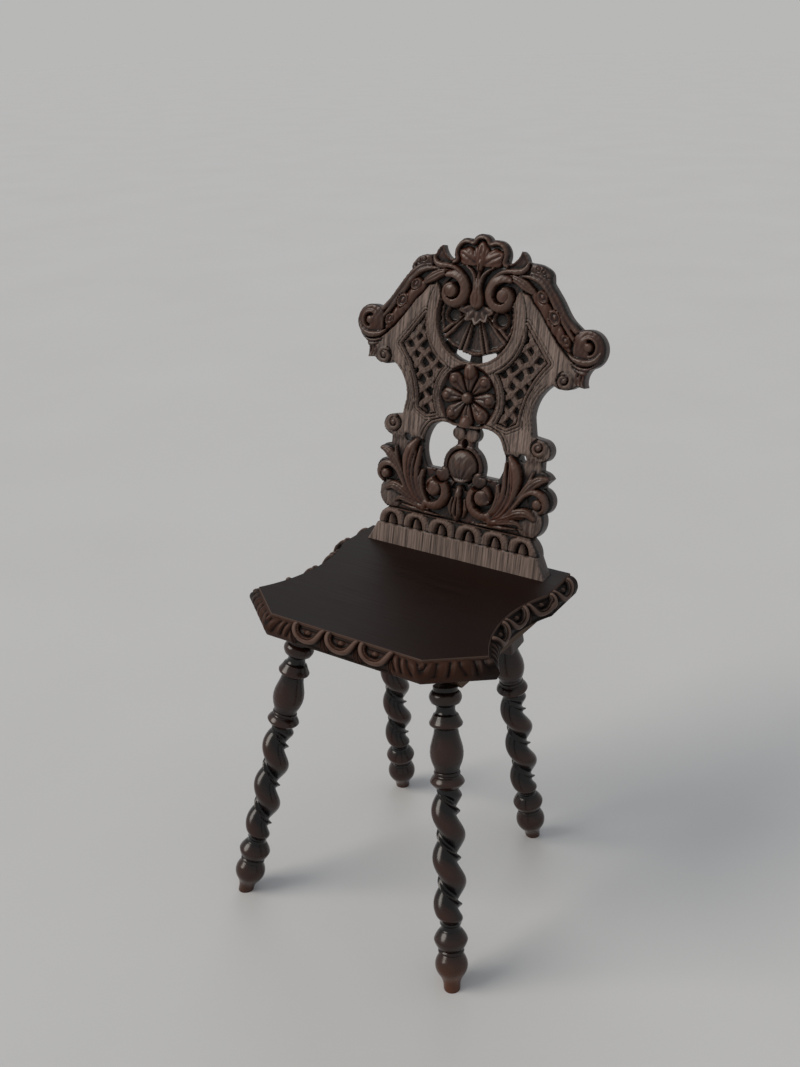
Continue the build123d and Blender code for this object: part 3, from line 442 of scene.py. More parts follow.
def makeSeat():
    # edge profile carried along the outline, mitred at the corners; the carving pushes it along its normal
    path = seatPath()
    run = np.diff(path, axis=0)
    run = run / np.linalg.norm(run, axis=1)[:, None]
    normal = np.stack([-run[:, 1], run[:, 0]], 1)
    before, after = np.vstack([normal[:1], normal]), np.vstack([normal, normal[-1:]])
    mitre = (before + after) / (1 + (before * after).sum(1))[:, None]
    mitre[[0, -1], 1] = 0
    t = np.concatenate([[0], np.cumsum(np.linalg.norm(np.diff(path, axis=0), axis=1))])
    fromFront = np.abs(t - t[-1] / 2)
    # profile: outward reach and height, from the top's edge down over the lip and the roll to the underside
    turnAngle = np.linspace(0, 1, 15)
    rollOut = np.concatenate([[0, 0.6, 0.8], seat["roll"] * np.sin(turnAngle * np.pi / 2) ** 0.9 * 0.96 + 0.5,
                              [12.6, 12.7, 12.5, 12.0, 11.4, 10.8, 10.2, 9.4, 8.2, 6.0]])
    rollDown = np.concatenate([[0, 0.6, 2.6], 3.2 + 12.6 * (1 - np.cos(turnAngle * np.pi / 2)),
                               [16.4, 17.6, 19.2, 21.2, 23.0, 24.8, 26.6, 28.2, 29.4, 30.0]])
    finer = np.linspace(0, len(rollOut) - 1, 44)
    out = np.interp(finer, np.arange(len(rollOut)), rollOut)
    down = np.interp(finer, np.arange(len(rollDown)), rollDown)
    slopeOut, slopeDown = np.gradient(out), np.gradient(down)
    size = np.hypot(slopeOut, slopeDown)
    pushOut, pushUp = slopeDown / size, slopeOut / size
    below = np.concatenate([[0], np.cumsum(np.hypot(np.diff(out), np.diff(down)))])
    bandY = below - np.interp(seat["lip"], down, below)
    # lunettes stand at one pitch across the front and at another along each side, with fluted leaves between
    x, y = np.broadcast_arrays(fromFront[:, None], bandY[None, :])
    frontHalf = seatCorners["front"][0]
    sideStart = frontHalf + seat["chamfer"]
    sideX = x - sideStart
    frontLocal = np.where(x < seat["frontPitch"] / 2, x, x - seat["frontPitch"])
    sideLocal = (sideX - seat["sideFirst"] + seat["lunette"]) % seat["sidePitch"] - seat["lunette"]
    onSide = (sideX > seat["sideFrom"]) & (sideX < seat["sideTo"])
    carving = np.where(x < seat["frontEnd"], edgeCarving(frontLocal, y, seat["relief"]), 0)
    carving = np.where(onSide, edgeCarving(sideLocal, y, seat["relief"]), carving)
    # leaves: flutes that slant beside the front's lunettes, fan out on the cut corner, and slant on the side
    centred = x - frontHalf - seat["chamfer"] / 2
    slant = x - seat["frontEnd"] - 0.45 * y + 1.6 * np.sin(x * 0.21)
    fan = centred * (1 - 0.012 * y) + 1.8 * np.sin(centred * 0.19 + 0.1 * y)
    leaves = (
        ((x >= seat["frontEnd"]) & (x <= frontHalf), slant, 12.5),
        ((x > frontHalf) & (sideX <= 0), fan, 13.3),
        ((sideX > 0) & (sideX <= seat["sideFrom"]), sideX + 0.5 * y, 12.0),
    )
    for onLeaf, across, fluteWide in leaves:
        flute = 0.5 + 0.5 * np.cos(2 * np.pi * across / fluteWide)
        cutDeep = (flute**0.4 - 0.9) * seat["relief"] * 0.8 * ease((27 - y) / 5) * ease((y - 1) / 3)
        carving = np.where(onLeaf, cutDeep, carving)
    inBand = (y > 0.4) & (down[None, :] < 28.6)
    carving = np.where(inBand, carving * ease((y - 0.4) / 1.2), 0)
    carving = carving * (ease(t / 6)[:, None] * ease((t[-1] - t) / 6)[:, None])
    reachOut = out[None, :] + carving * pushOut[None, :]
    height = seat["top"] - down[None, :] + carving * pushUp[None, :]
    height = np.minimum(height, seat["top"])
    points = np.empty(x.shape + (3,))
    points[..., 0] = path[:, None, 0] + mitre[:, None, 0] * reachOut
    points[..., 1] = path[:, None, 1] + mitre[:, None, 1] * reachOut
    points[..., 2] = height
    rows, columns = x.shape
    first = rows * columns
    strip = gridFaces(rows, columns)
    # the two housings: four corners of the dovetail at the rear and at the blind end, eight points each
    under = seat["top"] - seat["thickness"]
    low, high, roof = seat["tongueLow"], seat["tongueHigh"], under + seat["tongueHeight"]
    dovetail = ((-low, under), (-high, roof), (high, roof), (low, under))
    extra = np.array([(sign * seat["battenX"] + reach, end, z) for sign in (-1, 1) for reach, z in dovetail
                      for end in (seat["rearY"], seat["housingFront"])])
    # underside and rear face: loops that run round the two housings
    topLoop = np.arange(rows) * columns
    lowFace, rearFace, faces = list(topLoop + columns - 1), [], []
    for b in (first, first + 8):
        lowFace += [b, b + 1, b + 7, b + 6]
        rearFace += [b, b + 2, b + 4, b + 6]
        faces += [[b, b + 2, b + 3, b + 1], [b + 2, b + 4, b + 5, b + 3], [b + 4, b + 6, b + 7, b + 5],
                  [b + 1, b + 3, b + 5, b + 7]]
    rear = np.concatenate([np.arange(first - columns, first), rearFace, np.arange(columns)[::-1]])
    # tone: the carving against its mean nearby gives painted shade in hollows and wear on ridges; a worn lip;
    # rubbed wood towards the front
    local = carving / seat["relief"]
    smoothed = local
    for axis in (0, 1):
        smoothed = np.mean([np.roll(smoothed, shift, axis) for shift in range(-5, 6)], axis=0)
    onLip = (down[None, :] > 0.3) & (down[None, :] < 3.4)
    ridge = np.where(inBand, np.clip((local - smoothed) * 1.9, -1, 1) - 0.12, 0.6 * onLip)
    rub = np.where(inBand, 0.45, 0.0) * ease((sideStart - x) / 40)
    fields = {"ridge": ridge, "rub": rub, "plain": np.zeros(x.shape)}
    fields = {key: np.concatenate([values.ravel(), np.zeros(len(extra))]) for key, values in fields.items()}
    faceSets = [strip, topLoop[::-1][None, :], np.array(lowFace)[None, :], rear[None, :], np.array(faces)]
    points = np.concatenate([points.reshape(-1, 3), extra])
    makePiece("carved_seat", points, faceSets, materials["waxedSeatOak"], ["seat_board"],
              fields, 45)


makeSeat()
print("seat carved")

# Back board: (u across, v up the board) in millimetres from the middle of its foot, for its right half
back = dict(pitch=1.1, thickness=26.0, topThickness=13.0, rake=12.1, footY=102.5, footZ=450.0, top=446.0,
            crownV=444.0, half=197.0, arris=2.6, bevel=2.0, ringV=334.0, ringRadius=60.0, shellV=338.0,
            ballV=130.0, ballRadius=32.0, ballArc=(-14, 64), drill=(92, 159), drillRadius=5.5, rosetteV=227.0,
            gaps=((-81, -57), (-37, -9)), lobeAngles=(-90, -83, -72, -62, -50, -37, -29, -18, -5, 20, 60),
            lobeReach=(55, 54.5, 53.5, 54.5, 58, 59, 58.5, 58.8, 58.8, 57, 58))
# each run goes on from where the one before it ended
outlineStart = (0, 0)
outlineRuns = [
    ("line", (144.5, 0)), ("line", (130, 28.5)), ("arc", (126, 42), (116, 52)), ("arc", (132, 74), (129, 88)),
    ("arc", (141.5, 102), (124.5, 124)), ("line", (136.5, 137)), ("arc", (130.5, 143), (120.5, 145.5)),
    ("line", (120, 158)), ("arc", (132.5, 174), (119, 188)), ("line", (103, 190)), ("line", (98.5, 214)),
    ("arc", (105.6, 241.4), (125, 262)), ("arc", (142, 257), (158, 264.5)), ("line", (169.5, 263)),
    ("arc", (168.5, 276), (175, 288)), ("arc", (192, 313), (156, 335)),
    ("flow", (141, 346.5), (122, 372), (108, 389)), ("flow", (105, 402), (92, 410), (70, 413)),
    ("arc", (66.5, 421), (60, 426)), ("arc", (54.5, 415), (45, 408)), ("line", (40, 410)),
    ("arc", (37.5, 430), (14, 435.5)), ("arc", (8, 442), (0, 444)),
]
latticeStart = (78, 334)
latticeRuns = [
    ("line", (115, 288)), ("arc", (88, 245), (79, 203)), ("line", (64, 195)), ("line", (47, 199)),
    ("arc", (55, 230), (40, 265)), ("arc", (67, 290), latticeStart),
]
# from the top of the ball's arc round the kidney shaped opening to its other side
kidneyRuns = [
    ("line", (14, 167)), ("arc", (21, 177), (17, 186)), ("arc", (38, 189), (55, 181)),
    ("arc", (65.5, 152), (57, 122)),
]


def traceRuns(start, runs):
    # joins straight, arc and flowing runs end to end into one line of points
    kinds = {"line": straight, "arc": threePointArc, "flow": lambda *points: flowingCurve(points)}
    pieces = [np.array([start], float)]
    for kind, *points in runs:
        pieces.append(kinds[kind](start, *points)[1:])
        start = points[-1]
    return np.concatenate(pieces)


def circleArc(centre, radius, low, high, step=1.0):
    # points of a circle between two angles in degrees
    count = max(3, int(abs(math.radians(high - low)) * radius / step))
    t = np.radians(np.linspace(low, high, count + 1))
    return np.array(centre, float) + radius * np.stack([np.cos(t), np.sin(t)], 1)


def openingLoops():
    # right half's openings: the gaps beside the lobed shell, the kidney beside the stem, and the drilled hole
    gaps = []
    for low, high in back["gaps"]:
        ring = circleArc((0, back["ringV"]), back["ringRadius"], low, high)
        angle = np.linspace(high, low, 40)
        reach = np.interp(angle, back["lobeAngles"], back["lobeReach"])
        way = np.stack([np.cos(np.radians(angle)), np.sin(np.radians(angle))], 1)
        gaps.append(np.concatenate([ring, (0, back["shellV"]) + reach[:, None] * way]))
    ball = circleArc((0, back["ballV"]), back["ballRadius"], *back["ballArc"])
    kidney = np.concatenate([ball, traceRuns(ball[-1], kidneyRuns + [("line", ball[0])])[1:-1]])
    drill = circleArc(back["drill"], back["drillRadius"], 0, 360)[:-1]
    return gaps + [kidney, drill]


rightOutline = traceRuns(outlineStart, outlineRuns)
wholeOutline = np.concatenate([rightOutline, (rightOutline * (-1, 1))[::-1][1:-1]])
rightOpenings = openingLoops()
allLoops = [wholeOutline] + rightOpenings + [loop * (-1, 1) for loop in rightOpenings]
kidneyLoop = rightOpenings[-2]

# Grid over the whole board, and its right half, on which the carving is worked out
halfColumns = int(back["half"] / back["pitch"]) + 1
gridRows = int(back["top"] / back["pitch"]) + 1
columnU = np.arange(-halfColumns, halfColumns + 1) * back["pitch"]
rowV = np.arange(gridRows) * back["pitch"]
handU, handV = np.meshgrid(columnU[halfColumns:], rowV)


def insideLoops(loops, us, vs):
    # even and odd rule: each crossing of a row adds one to every point on its right
    count = np.zeros((len(vs), len(us) + 1))
    for loop in loops:
        a, b = loop, np.roll(loop, -1, axis=0)
        crosses = (a[None, :, 1] <= vs[:, None]) != (b[None, :, 1] <= vs[:, None])
        row, edge = np.nonzero(crosses)
        share = (vs[row] - a[edge, 1]) / (b[edge, 1] - a[edge, 1])
        at = a[edge, 0] + share * (b[edge, 0] - a[edge, 0])
        column = np.searchsorted(us, at)
        np.add.at(count, (row, column), 1)
    return np.cumsum(count, axis=1)[:, :-1] % 2 == 1


def nearCurve(curve, points):
    # for each point: the nearest place on the curve, the offset from it, its side and its share of the length
    a, run = curve[:-1], np.diff(curve, axis=0)
    square = np.maximum((run**2).sum(1), 1e-9)
    from0 = points[:, None, :] - a[None]
    share = np.clip((from0 * run).sum(-1) / square, 0, 1)
    off = from0 - share[..., None] * run
    far = (off**2).sum(-1)
    k = far.argmin(1)
    row = np.arange(len(points))
    length = np.sqrt(square)
    start = np.cumsum(length) - length
    share, off = share[row, k], off[row, k]
    side = np.sign(run[k, 0] * off[:, 1] - run[k, 1] * off[:, 0])
    return np.sqrt(far[row, k]), side, (start[k] + share * length[k]) / length.sum(), points - off


def distanceField(curve, reach):
    # distance to a curve over the right half of the grid, worked out only within the reach of its box
    field = np.full(handU.shape, float(reach))
    low, high = curve.min(0) - reach, curve.max(0) + reach
    near = (handU > low[0]) & (handU < high[0]) & (handV > low[1]) & (handV < high[1])
    points = np.stack([handU[near], handV[near]], 1)
    chunks = np.array_split(points, max(1, len(points) * len(curve) // 4000000))
    field[near] = np.concatenate([nearCurve(curve, chunk)[0] for chunk in chunks])
    return np.minimum(field, reach)


carving = {key: np.zeros(handU.shape) for key in ("height", "plain", "rub")}


def roll(fall):
    # half round section: the edges lie the given fall below the crest
    return lambda x, t: -fall * (1 - np.sqrt(np.clip(1 - x * x, 0, 1)))


def slope(peak, rightFall, leftFall):
    # round section with its crest off the middle and its own fall to the right and left of the way it runs
    def section(x, t):
        off = np.where(x > peak, (x - peak) / (1 - peak), (peak - x) / (1 + peak))
        return -np.where(x > peak, leftFall, rightFall) * (1 - np.sqrt(np.clip(1 - off * off, 0, 1)))

    return section


def reeded(count, deep, base):
    # broad half round reeds along another section, with narrow valleys between them
    def section(x, t):
        share = (x + 1) / 2 * count
        across = 2 * (share - np.floor(share)) - 1
        return base(x, t) - deep * (1 - np.sqrt(np.clip(1 - 0.97 * across**2, 0, 1)))

    return section


def setForm(on, height, rub=0.0, plain=0.0):
    # new surface and tone wherever the mask is true
    for key, values in (("height", height), ("rub", rub), ("plain", plain)):
        carving[key] = np.where(on, values, carving[key])


def ovalPlace(middle, long, wide, slant):
    # place in a slanting oval: how far along and across it, 1 at its edge
    cosine, sine = math.cos(math.radians(slant)), math.sin(math.radians(slant))
    along = ((handU - middle[0]) * cosine + (handV - middle[1]) * sine) / long
    across = ((handV - middle[1]) * cosine - (handU - middle[0]) * sine) / wide
    return along, across


def stroke(curve, widths, crests, section, rub=0.0, plain=0.0, keep=False):
    # carved form along a curve: half width and crest are read along it, the section gives the fall across it
    # a plain list of points is made a flowing curve first
    curve = flowingCurve(curve) if isinstance(curve, list) else curve
    reach = max(widths) + back["pitch"]
    low, high = curve.min(0) - reach, curve.max(0) + reach
    near = (handU > low[0]) & (handU < high[0]) & (handV > low[1]) & (handV < high[1])
    d, side, t, _ = nearCurve(curve, np.stack([handU[near], handV[near]], 1))
    w = np.interp(t, np.linspace(0, 1, len(widths)), widths)
    z = np.interp(t, np.linspace(0, 1, len(crests)), crests)
    x = side * d / np.maximum(w, 0.05)
    on = np.abs(x) < 1
    z = z + section(np.clip(x, -1, 1), t)
    old = carving["height"][near]
    on &= (z > old) | keep
    carving["height"][near] = np.where(on, z, old)
    carving["plain"][near] = np.where(on, plain, carving["plain"][near])
    carving["rub"][near] = np.where(on, rub, carving["rub"][near])


def boss(centre, radius, crest, fall, rub=0.0, groove=0.0, grooveWide=2.5):
    # round dome, with a groove cut round its foot
    d = np.hypot(handU - centre[0], handV - centre[1])
    ring = (d >= radius) & (d < radius + grooveWide)
    trench = np.minimum(carving["height"], crest - fall - groove)
    carving["height"] = np.where(ring & (groove > 0), trench, carving["height"])
    dome = crest - fall * (1 - np.sqrt(np.clip(1 - (d / radius) ** 2, 0, 1)))
    on = d < radius
    carving["height"] = np.where(on, dome, carving["height"])
    carving["plain"] = np.where(on | ring, 0.0, carving["plain"])
    carving["rub"] = np.where(on, rub, carving["rub"])


def volute(centre, angles, radii):
    # spiral about a centre: the radius runs evenly between the given ones as the angle goes round
    a = np.arange(angles[0], angles[-1], 5.0 if angles[-1] > angles[0] else -5.0)
    order = np.argsort(angles)
    r = np.interp(a, np.array(angles)[order], np.array(radii)[order])
    a = np.radians(a)
    return np.array(centre) + r[:, None] * np.stack([np.cos(a), np.sin(a)], 1)


def groove(d, at, wide, deep, where):
    # rounded groove at a given distance from an edge
    carving["height"] -= deep * np.exp(-(((d - at) / wide) ** 2)) * where


edgeFar = distanceField(rightOutline, 26)
u, v = handU, handV

# Levels: the plain field, the sunk grounds above and below it, and the plinth
levels = dict(upper=-5.0, lower=-5.5, lowerTop=168, lowerFade=16, lowerFoot=51.5, plinthTop=28)
fieldTop = np.interp(u, (0, 56, 60, 66, 76, 85, 96, 104, 115, 127, 140, 150, 200),
                     (352, 352, 366, 373, 371, 360, 350, 339, 325, 311, 299, 292, 290))
upper = ease((v - fieldTop) / 2.0)
lower = ease((levels["lowerTop"] - v) / levels["lowerFade"]) * ease((v - levels["lowerFoot"]) / 1.5)
onField = (v > 160) & (v < fieldTop)
carving["height"] = levels["upper"] * upper + levels["lower"] * lower
besideDrill = 0.75 * ease((v - 134) / 12) * (v < 165) * (u > 88)
carving["plain"] = np.where((v < levels["plinthTop"]) | onField, 1.0, besideDrill)

# Side strips: three quirks that follow the hollow side
strips = ease((v - 192) / 8) * ease((266 - v) / 10)
for at, deep in ((3.4, 1.6), (7.6, 1.3), (13.2, 1.8)):
    groove(edgeFar, at, 0.8, deep, strips)

# Round frame of the shell
fromRing = np.hypot(u, v - back["ringV"])
ringHeight = np.interp(fromRing, (57, 59, 61, 63, 64.2, 65.4, 67, 70.5, 71.8, 73, 74.6, 76, 77.4, 78.6),
                       (-2, 0.8, 2.0, 1.8, 0.2, 0.7, 0.9, 0.9, 0.3, 1.0, 1.4, 0.5, -1.4, 0))
setForm((fromRing > 57) & (fromRing < 78.6) & (v < fieldTop + 4), ringHeight, plain=0.85)

# Lattice panels: crossing straps, cut by eye, over a dark ground, inside a double fillet
lattice = dict(centre=(64, 253), pitch=17.0, strap=-2.4, ground=-10.0, holeReach=0.315, wander=1.7)
latticeLoop = traceRuns(latticeStart, latticeRuns)
inLattice = insideLoops([latticeLoop[:-1]], columnU[halfColumns:], rowV)
latticeFar = distanceField(latticeLoop, 14)
wanderU = u + lattice["wander"] * np.sin(v * 0.17 + 0.6) + 0.8 * np.sin(u * 0.31 + v * 0.12)
wanderV = v + lattice["wander"] * np.sin(u * 0.21 + 1.1) + 0.8 * np.sin(v * 0.27 - u * 0.15)
diagonal = lattice["pitch"] * math.sqrt(2)
p = ((wanderU - lattice["centre"][0]) + (wanderV - lattice["centre"][1])) / diagonal
q = ((wanderV - lattice["centre"][1]) - (wanderU - lattice["centre"][0])) / diagonal
px, qx = p - np.round(p), q - np.round(q)
hole = (np.abs(px) ** 6 + np.abs(qx) ** 6) ** (1 / 6)
holeReach = lattice["holeReach"] + 0.035 * np.sin(2.1 * np.round(p) + 3.7 * np.round(q))
overUnder = np.where((np.round(p * 2) + np.round(q * 2)) % 2 == 0, 0.7, -0.6)
strap = lattice["strap"] + overUnder - 0.8 * (np.abs(px) ** 2 + np.abs(qx) ** 2)
latticeHeight = strap + (lattice["ground"] - strap) * ease((holeReach - hole) / 0.06)
setForm(inLattice, np.where(latticeFar < 1.8, -5.5, latticeHeight), plain=0.6)
besideLattice = ~inLattice * ease((fieldTop - v) / 4) * (fromRing > 75)
carving["height"] += 1.2 * np.exp(-(((latticeFar - 1.8) / 1.0) ** 2)) * besideLattice
groove(latticeFar, 3.9, 0.75, 1.7, besideLattice)
carving["height"] += 0.6 * np.exp(-(((latticeFar - 5.8) / 0.9) ** 2)) * besideLattice
groove(latticeFar, 7.8, 0.75, 1.2, besideLattice)

# Rosette: grooved petals with a pearl near each tip, larger buds above and below, round a button
rosette = dict(reach=43.0, ground=-7.0, pearlAt=33.5, pearl=5.6, bud=(12.5, 9.2), budAt=36.5, button=7.6)
fromRose = np.hypot(u, v - back["rosetteV"])
roseAngle = np.arctan2(u, v - back["rosetteV"])
petal = ((roseAngle + np.pi / 8) % (np.pi / 4) - np.pi / 8) / (np.pi / 8)
acrossPetal = petal * fromRose * np.pi / 8
petalHalf = np.interp(fromRose, (4, 10, 20, 30, 36, 40, 42.5), (1.8, 3.4, 6.8, 10.2, 10.6, 8.0, 0.5))
x = acrossPetal / petalHalf
petalHeight = -4.4 + 4.6 * np.sin(np.clip(fromRose / rosette["reach"], 0, 1) * 2.3)
petalHeight = petalHeight - 3.0 * np.abs(x) ** 3 - 1.8 * np.exp(-((x / 0.2) ** 2)) * ease((29 - fromRose) / 6)
pearl = 1 - ((fromRose - rosette["pearlAt"]) / rosette["pearl"]) ** 2
pearl = np.clip(pearl - (acrossPetal / rosette["pearl"]) ** 2, 0, 1)
petalHeight = petalHeight + 3.2 * np.sqrt(pearl)
inRose = (fromRose < 45.5) & (v > 190)
setForm(inRose, rosette["ground"] + 5.4 * ease((fromRose - 39) / 6), rub=0.1)
setForm((np.abs(x) < 1) & inRose, petalHeight, rub=0.2 + 0.45 * np.sqrt(pearl))
for sign in (-1, 1):
    along, across = ovalPlace((0, back["rosetteV"] + sign * rosette["budAt"]), *rosette["bud"], 90)
    bud = np.sqrt(np.clip(1 - along**2 - across**2, 0, 1))
    vein = np.exp(-((across / 0.14) ** 2)) * ease((0.4 - along) / 0.5) * (sign > 0)
    budHeight = -2.5 + 7.4 * bud - 1.5 * vein
    setForm((bud > 0) & (budHeight > carving["height"]), budHeight, rub=0.95)
boss((0, back["rosetteV"]), rosette["button"], 5.4, 3.6, rub=0.35, groove=4.0, grooveWide=3.4)

# Shell: hollow lobes between paired ribs, a lip along each lobe, and a round hollow at each side
shell = dict(fanV=352, pairs=(16.5, 48.0), split=3.3, ribHalf=2.7, hollow=-9.8, rib=6.4, lip=5.2,
             cupAt=(37, 335), cup=10.8, behind=-13.0)
inShell = (fromRing < 60) & (v < 354)
fanAngle = np.arctan2(u, shell["fanV"] - v)
fanFar = np.hypot(u, v - shell["fanV"])
shellEdge = np.hypot(u, v - back["shellV"])
spread = np.clip(fanFar / 46, 0.45, 1.1)
ribs, cleft = np.zeros_like(u), np.zeros_like(u)
for middle in shell["pairs"]:
    across = np.abs(fanFar * np.sin(fanAngle - math.radians(middle)))
    offRib = np.abs(across - shell["split"] * spread)
    ribs = np.maximum(ribs, ease((shell["ribHalf"] * spread - offRib) / 1.1))
    cleft = np.maximum(cleft, np.exp(-((across / 1.1) ** 2)))
shellAngle = np.degrees(np.arctan2(v - back["shellV"], u))
lobeReach = np.interp(shellAngle, back["lobeAngles"], back["lobeReach"])
lip = np.exp(-(((shellEdge - lobeReach + 3.4) / 2.6) ** 2)) * (0.8 + 0.2 * np.sin(fanAngle * 41))
ribHeight = shell["rib"] * ribs * ease((fanFar - 14) / 6)
shellHeight = shell["hollow"] + np.maximum(ribHeight, shell["lip"] * lip) - 1.5 * cleft
cupFar = np.hypot(u - shell["cupAt"][0], v - shell["cupAt"][1])
cupLip = np.exp(-(((cupFar - shell["cup"]) / 2.2) ** 2))
cupHeight = -11.5 + 7.4 * cupLip + 1.8 * (cupFar > shell["cup"])
cupHeight = np.where(cupFar > shell["cup"], np.maximum(cupHeight, shellHeight), cupHeight)
shellHeight = np.where(cupFar < shell["cup"] + 3, cupHeight, shellHeight)
shellHeight = np.where(shellEdge > lobeReach, shell["behind"], shellHeight)
setForm(inShell, shellHeight, plain=0.2)
# pleated collar with a pointed edge, which hangs over the fan
collar = dict(v=353, pleat=34.0, reach=25.5, point=3.0)
collarAngle = np.degrees(np.arctan2(u, collar["v"] - v))
collarFar = np.hypot(u, v - collar["v"])
pleat = 1 - 2 * np.abs((collarAngle / collar["pleat"] + 0.5) % 1 - 0.5) * 2
collarReach = collar["reach"] + collar["point"] * pleat
collarHeight = -3.2 + 1.7 * pleat * ease((collarFar - 10) / 10)
collarHeight = collarHeight + 1.6 * ease((collarFar - collarReach + 4.0) / 2.5)
setForm(inShell & (collarFar < collarReach) & (collarAngle < 80), collarHeight, plain=0.15)

# Crest: a broad rim that rises to its inner edge, a hollow, and a leaf of three veined lobes on a stem
crest = dict(low=402, half=42, middleV=404, reach=44,
             rim=((0, 2.5, 5.0, 6.2, 7.4), (-0.6, 1.2, 2.4, 1.4, -5.4)),
             lobes=[((0, 416.5), 17.5, 11.8, 90), ((18.5, 412.0), 17.5, 12.6, 27)])
inCrest = (v > crest["low"]) & (u < crest["half"]) & (np.hypot(u, v - crest["middleV"]) < crest["reach"])
setForm(inCrest, np.interp(edgeFar, *crest["rim"]), rub=0.1)
for place in crest["lobes"]:
    along, across = ovalPlace(*place)
    scallop = 1 + 0.06 * np.cos(5 * np.arctan2(across, along) + np.pi)
    far = np.hypot(along, across) * scallop
    vein = np.exp(-((across / 0.13) ** 2)) * ease((0.85 - along) / 0.3)
    sideVein = np.exp(-(((np.abs(across) - 0.5 - 0.2 * along) / 0.12) ** 2)) * ease((along + 0.3) / 0.4)
    lobeHeight = -5.0 + 7.4 * np.clip(1 - far**2, 0, 1) ** 0.4 - 1.7 * vein - 0.9 * sideVein
    setForm(inCrest & (far < 1) & (edgeFar > 6.4) & (lobeHeight > carving["height"]), lobeHeight, rub=0.85)
stroke(straight((0, 412), (0, 393)), (0.8, 3.8, 4.4, 1.0), (1.5, 3.4, 3.6, 2.0), roll(3.2), rub=1.0,
       keep=True)

# Hump above each arm, with a row of small beads, and the arm's two long beads
stroke([(70, 405), (82, 405.5), (94, 401), (104, 393.5)], (5, 7, 7.5, 5), (-0.5, 1.4, 1.4, 0.5), roll(2.6))
for dot in ((87, 405.5), (95.5, 402.5), (102.5, 397.5)):
    boss(dot, 2.3, 3.0, 2.0, groove=0.8, grooveWide=1.3)
armBeads = [
    ([(76, 399), (90, 396.5), (101, 389.5), (107, 384), (119, 369), (138, 343.6), (150, 332.5), (160, 328)],
     (2.0, 3.4, 4.0, 4.0, 4.2, 4.2, 3.8, 2.4), (0.8, 1.8, 2.2, 2.2, 2.2, 2.4, 2.2)),
    ([(62, 395), (78, 394), (93.5, 388.4), (106.0, 376.4), (117.4, 360.2), (132.5, 340), (146, 323.6),
      (156, 314)],
     (2.0, 3.2, 3.6, 3.8, 3.8, 3.6, 3.0, 1.6), (1.8, 2.6, 2.8, 2.8, 2.8, 2.6, 2.0)),
]
for line, widths, crests in armBeads:
    stroke(line, widths, crests, roll(3.2), rub=0.1)


def ropeSection(x, t):
    # half round, less the square of a wave that slants across it and runs five and a half times along it
    wave = 0.5 + 0.5 * np.cos(2 * np.pi * (5.5 * t + 0.3 * np.sin(11 * t)) + 2.0 * x)
    return roll(5.4)(x, t) - 1.3 * wave**2


# Garland inside the arm: a reeded leaf, then a lumpy rope with three pitted eyes beside it
garland = [(82, 377), (91, 366.5), (102, 357.5), (111, 346), (122, 332.5), (133, 318.5), (141, 307.5)]
stroke(garland, (4, 7.6, 8.4, 8.8, 8.4, 7, 3.5), (0.5, 2.6, 3.0, 3.2, 3.0, 2.2, 0.2), ropeSection, rub=0.75)
for place in (((97, 371), 10.0, 7.2, -45), ((117.5, 347), 11.5, 8.4, -54), ((136.5, 319.5), 9.0, 6.6, -54)):
    along, across = ovalPlace(*place)
    far = np.hypot(along, across)
    eyeHeight = -0.8 + 3.8 * np.exp(-(((far - 0.76) / 0.2) ** 2)) + 3.4 * np.exp(-((far / 0.4) ** 2))
    setForm(far < 1, eyeHeight, rub=0.7)
stroke([(45, 392.5), (58, 389.5), (70, 383.5), (81, 377)], (3.5, 5.5, 6.8, 4.5), (2.8, 3.8, 3.8, 2.4),
       reeded(3, 1.7, roll(2.2)), rub=0.4)

# Leaf tip beside the crest: a hollow blade, over a bright fillet that sweeps down the back of the top scroll
topEye, earEye, lowEye = (38.5, 367.5), (169.0, 315.0), (37.5, 94.0)
inTip = (u > 42) & (u < 77) & (v > 398) & (np.hypot(u - 58, v - 411) < 18.5)
setForm(inTip, -2.6 + 3.0 * ease((4.0 - edgeFar) / 4), rub=0.3)
setForm(np.hypot(u - topEye[0], v - topEye[1]) < 17, -9.0)
topBand = volute(topEye, (66, 90, 135, 180, 225, 270, 315, 360, 405, 450),
                 (23.4, 22.6, 21.4, 20.4, 18.6, 17, 14.8, 12.6, 10.8, 9.4))
stroke(topBand, (4.4, 6.4, 6.6, 6.2, 6.0, 6.0, 5.4, 4.4, 3.2, 1.8), (3.6, 4.8, 5.4, 5.6, 5.6, 5.4, 5.2, 4.8),
       slope(0.62, 6.0, 1.4), rub=0.45, keep=True)
boss((40, 367), 9.0, 5.8, 2.4, rub=0.4)
tipFillet = [(72, 413), (70.5, 406.5), (66, 401.5), (58, 399.4), (48, 399.4), (38, 397.8), (28, 392.5),
             (19.5, 384), (14.5, 373), (13.2, 362)]
stroke(tipFillet, (1.6, 3.4, 4.0, 3.4, 2.8, 2.4, 2.0, 1.8, 1.4, 0.9),
       (1.5, 4.2, 5.0, 4.6, 4.2, 3.8, 3.2, 2.4, 1.6), roll(2.8), rub=0.35)

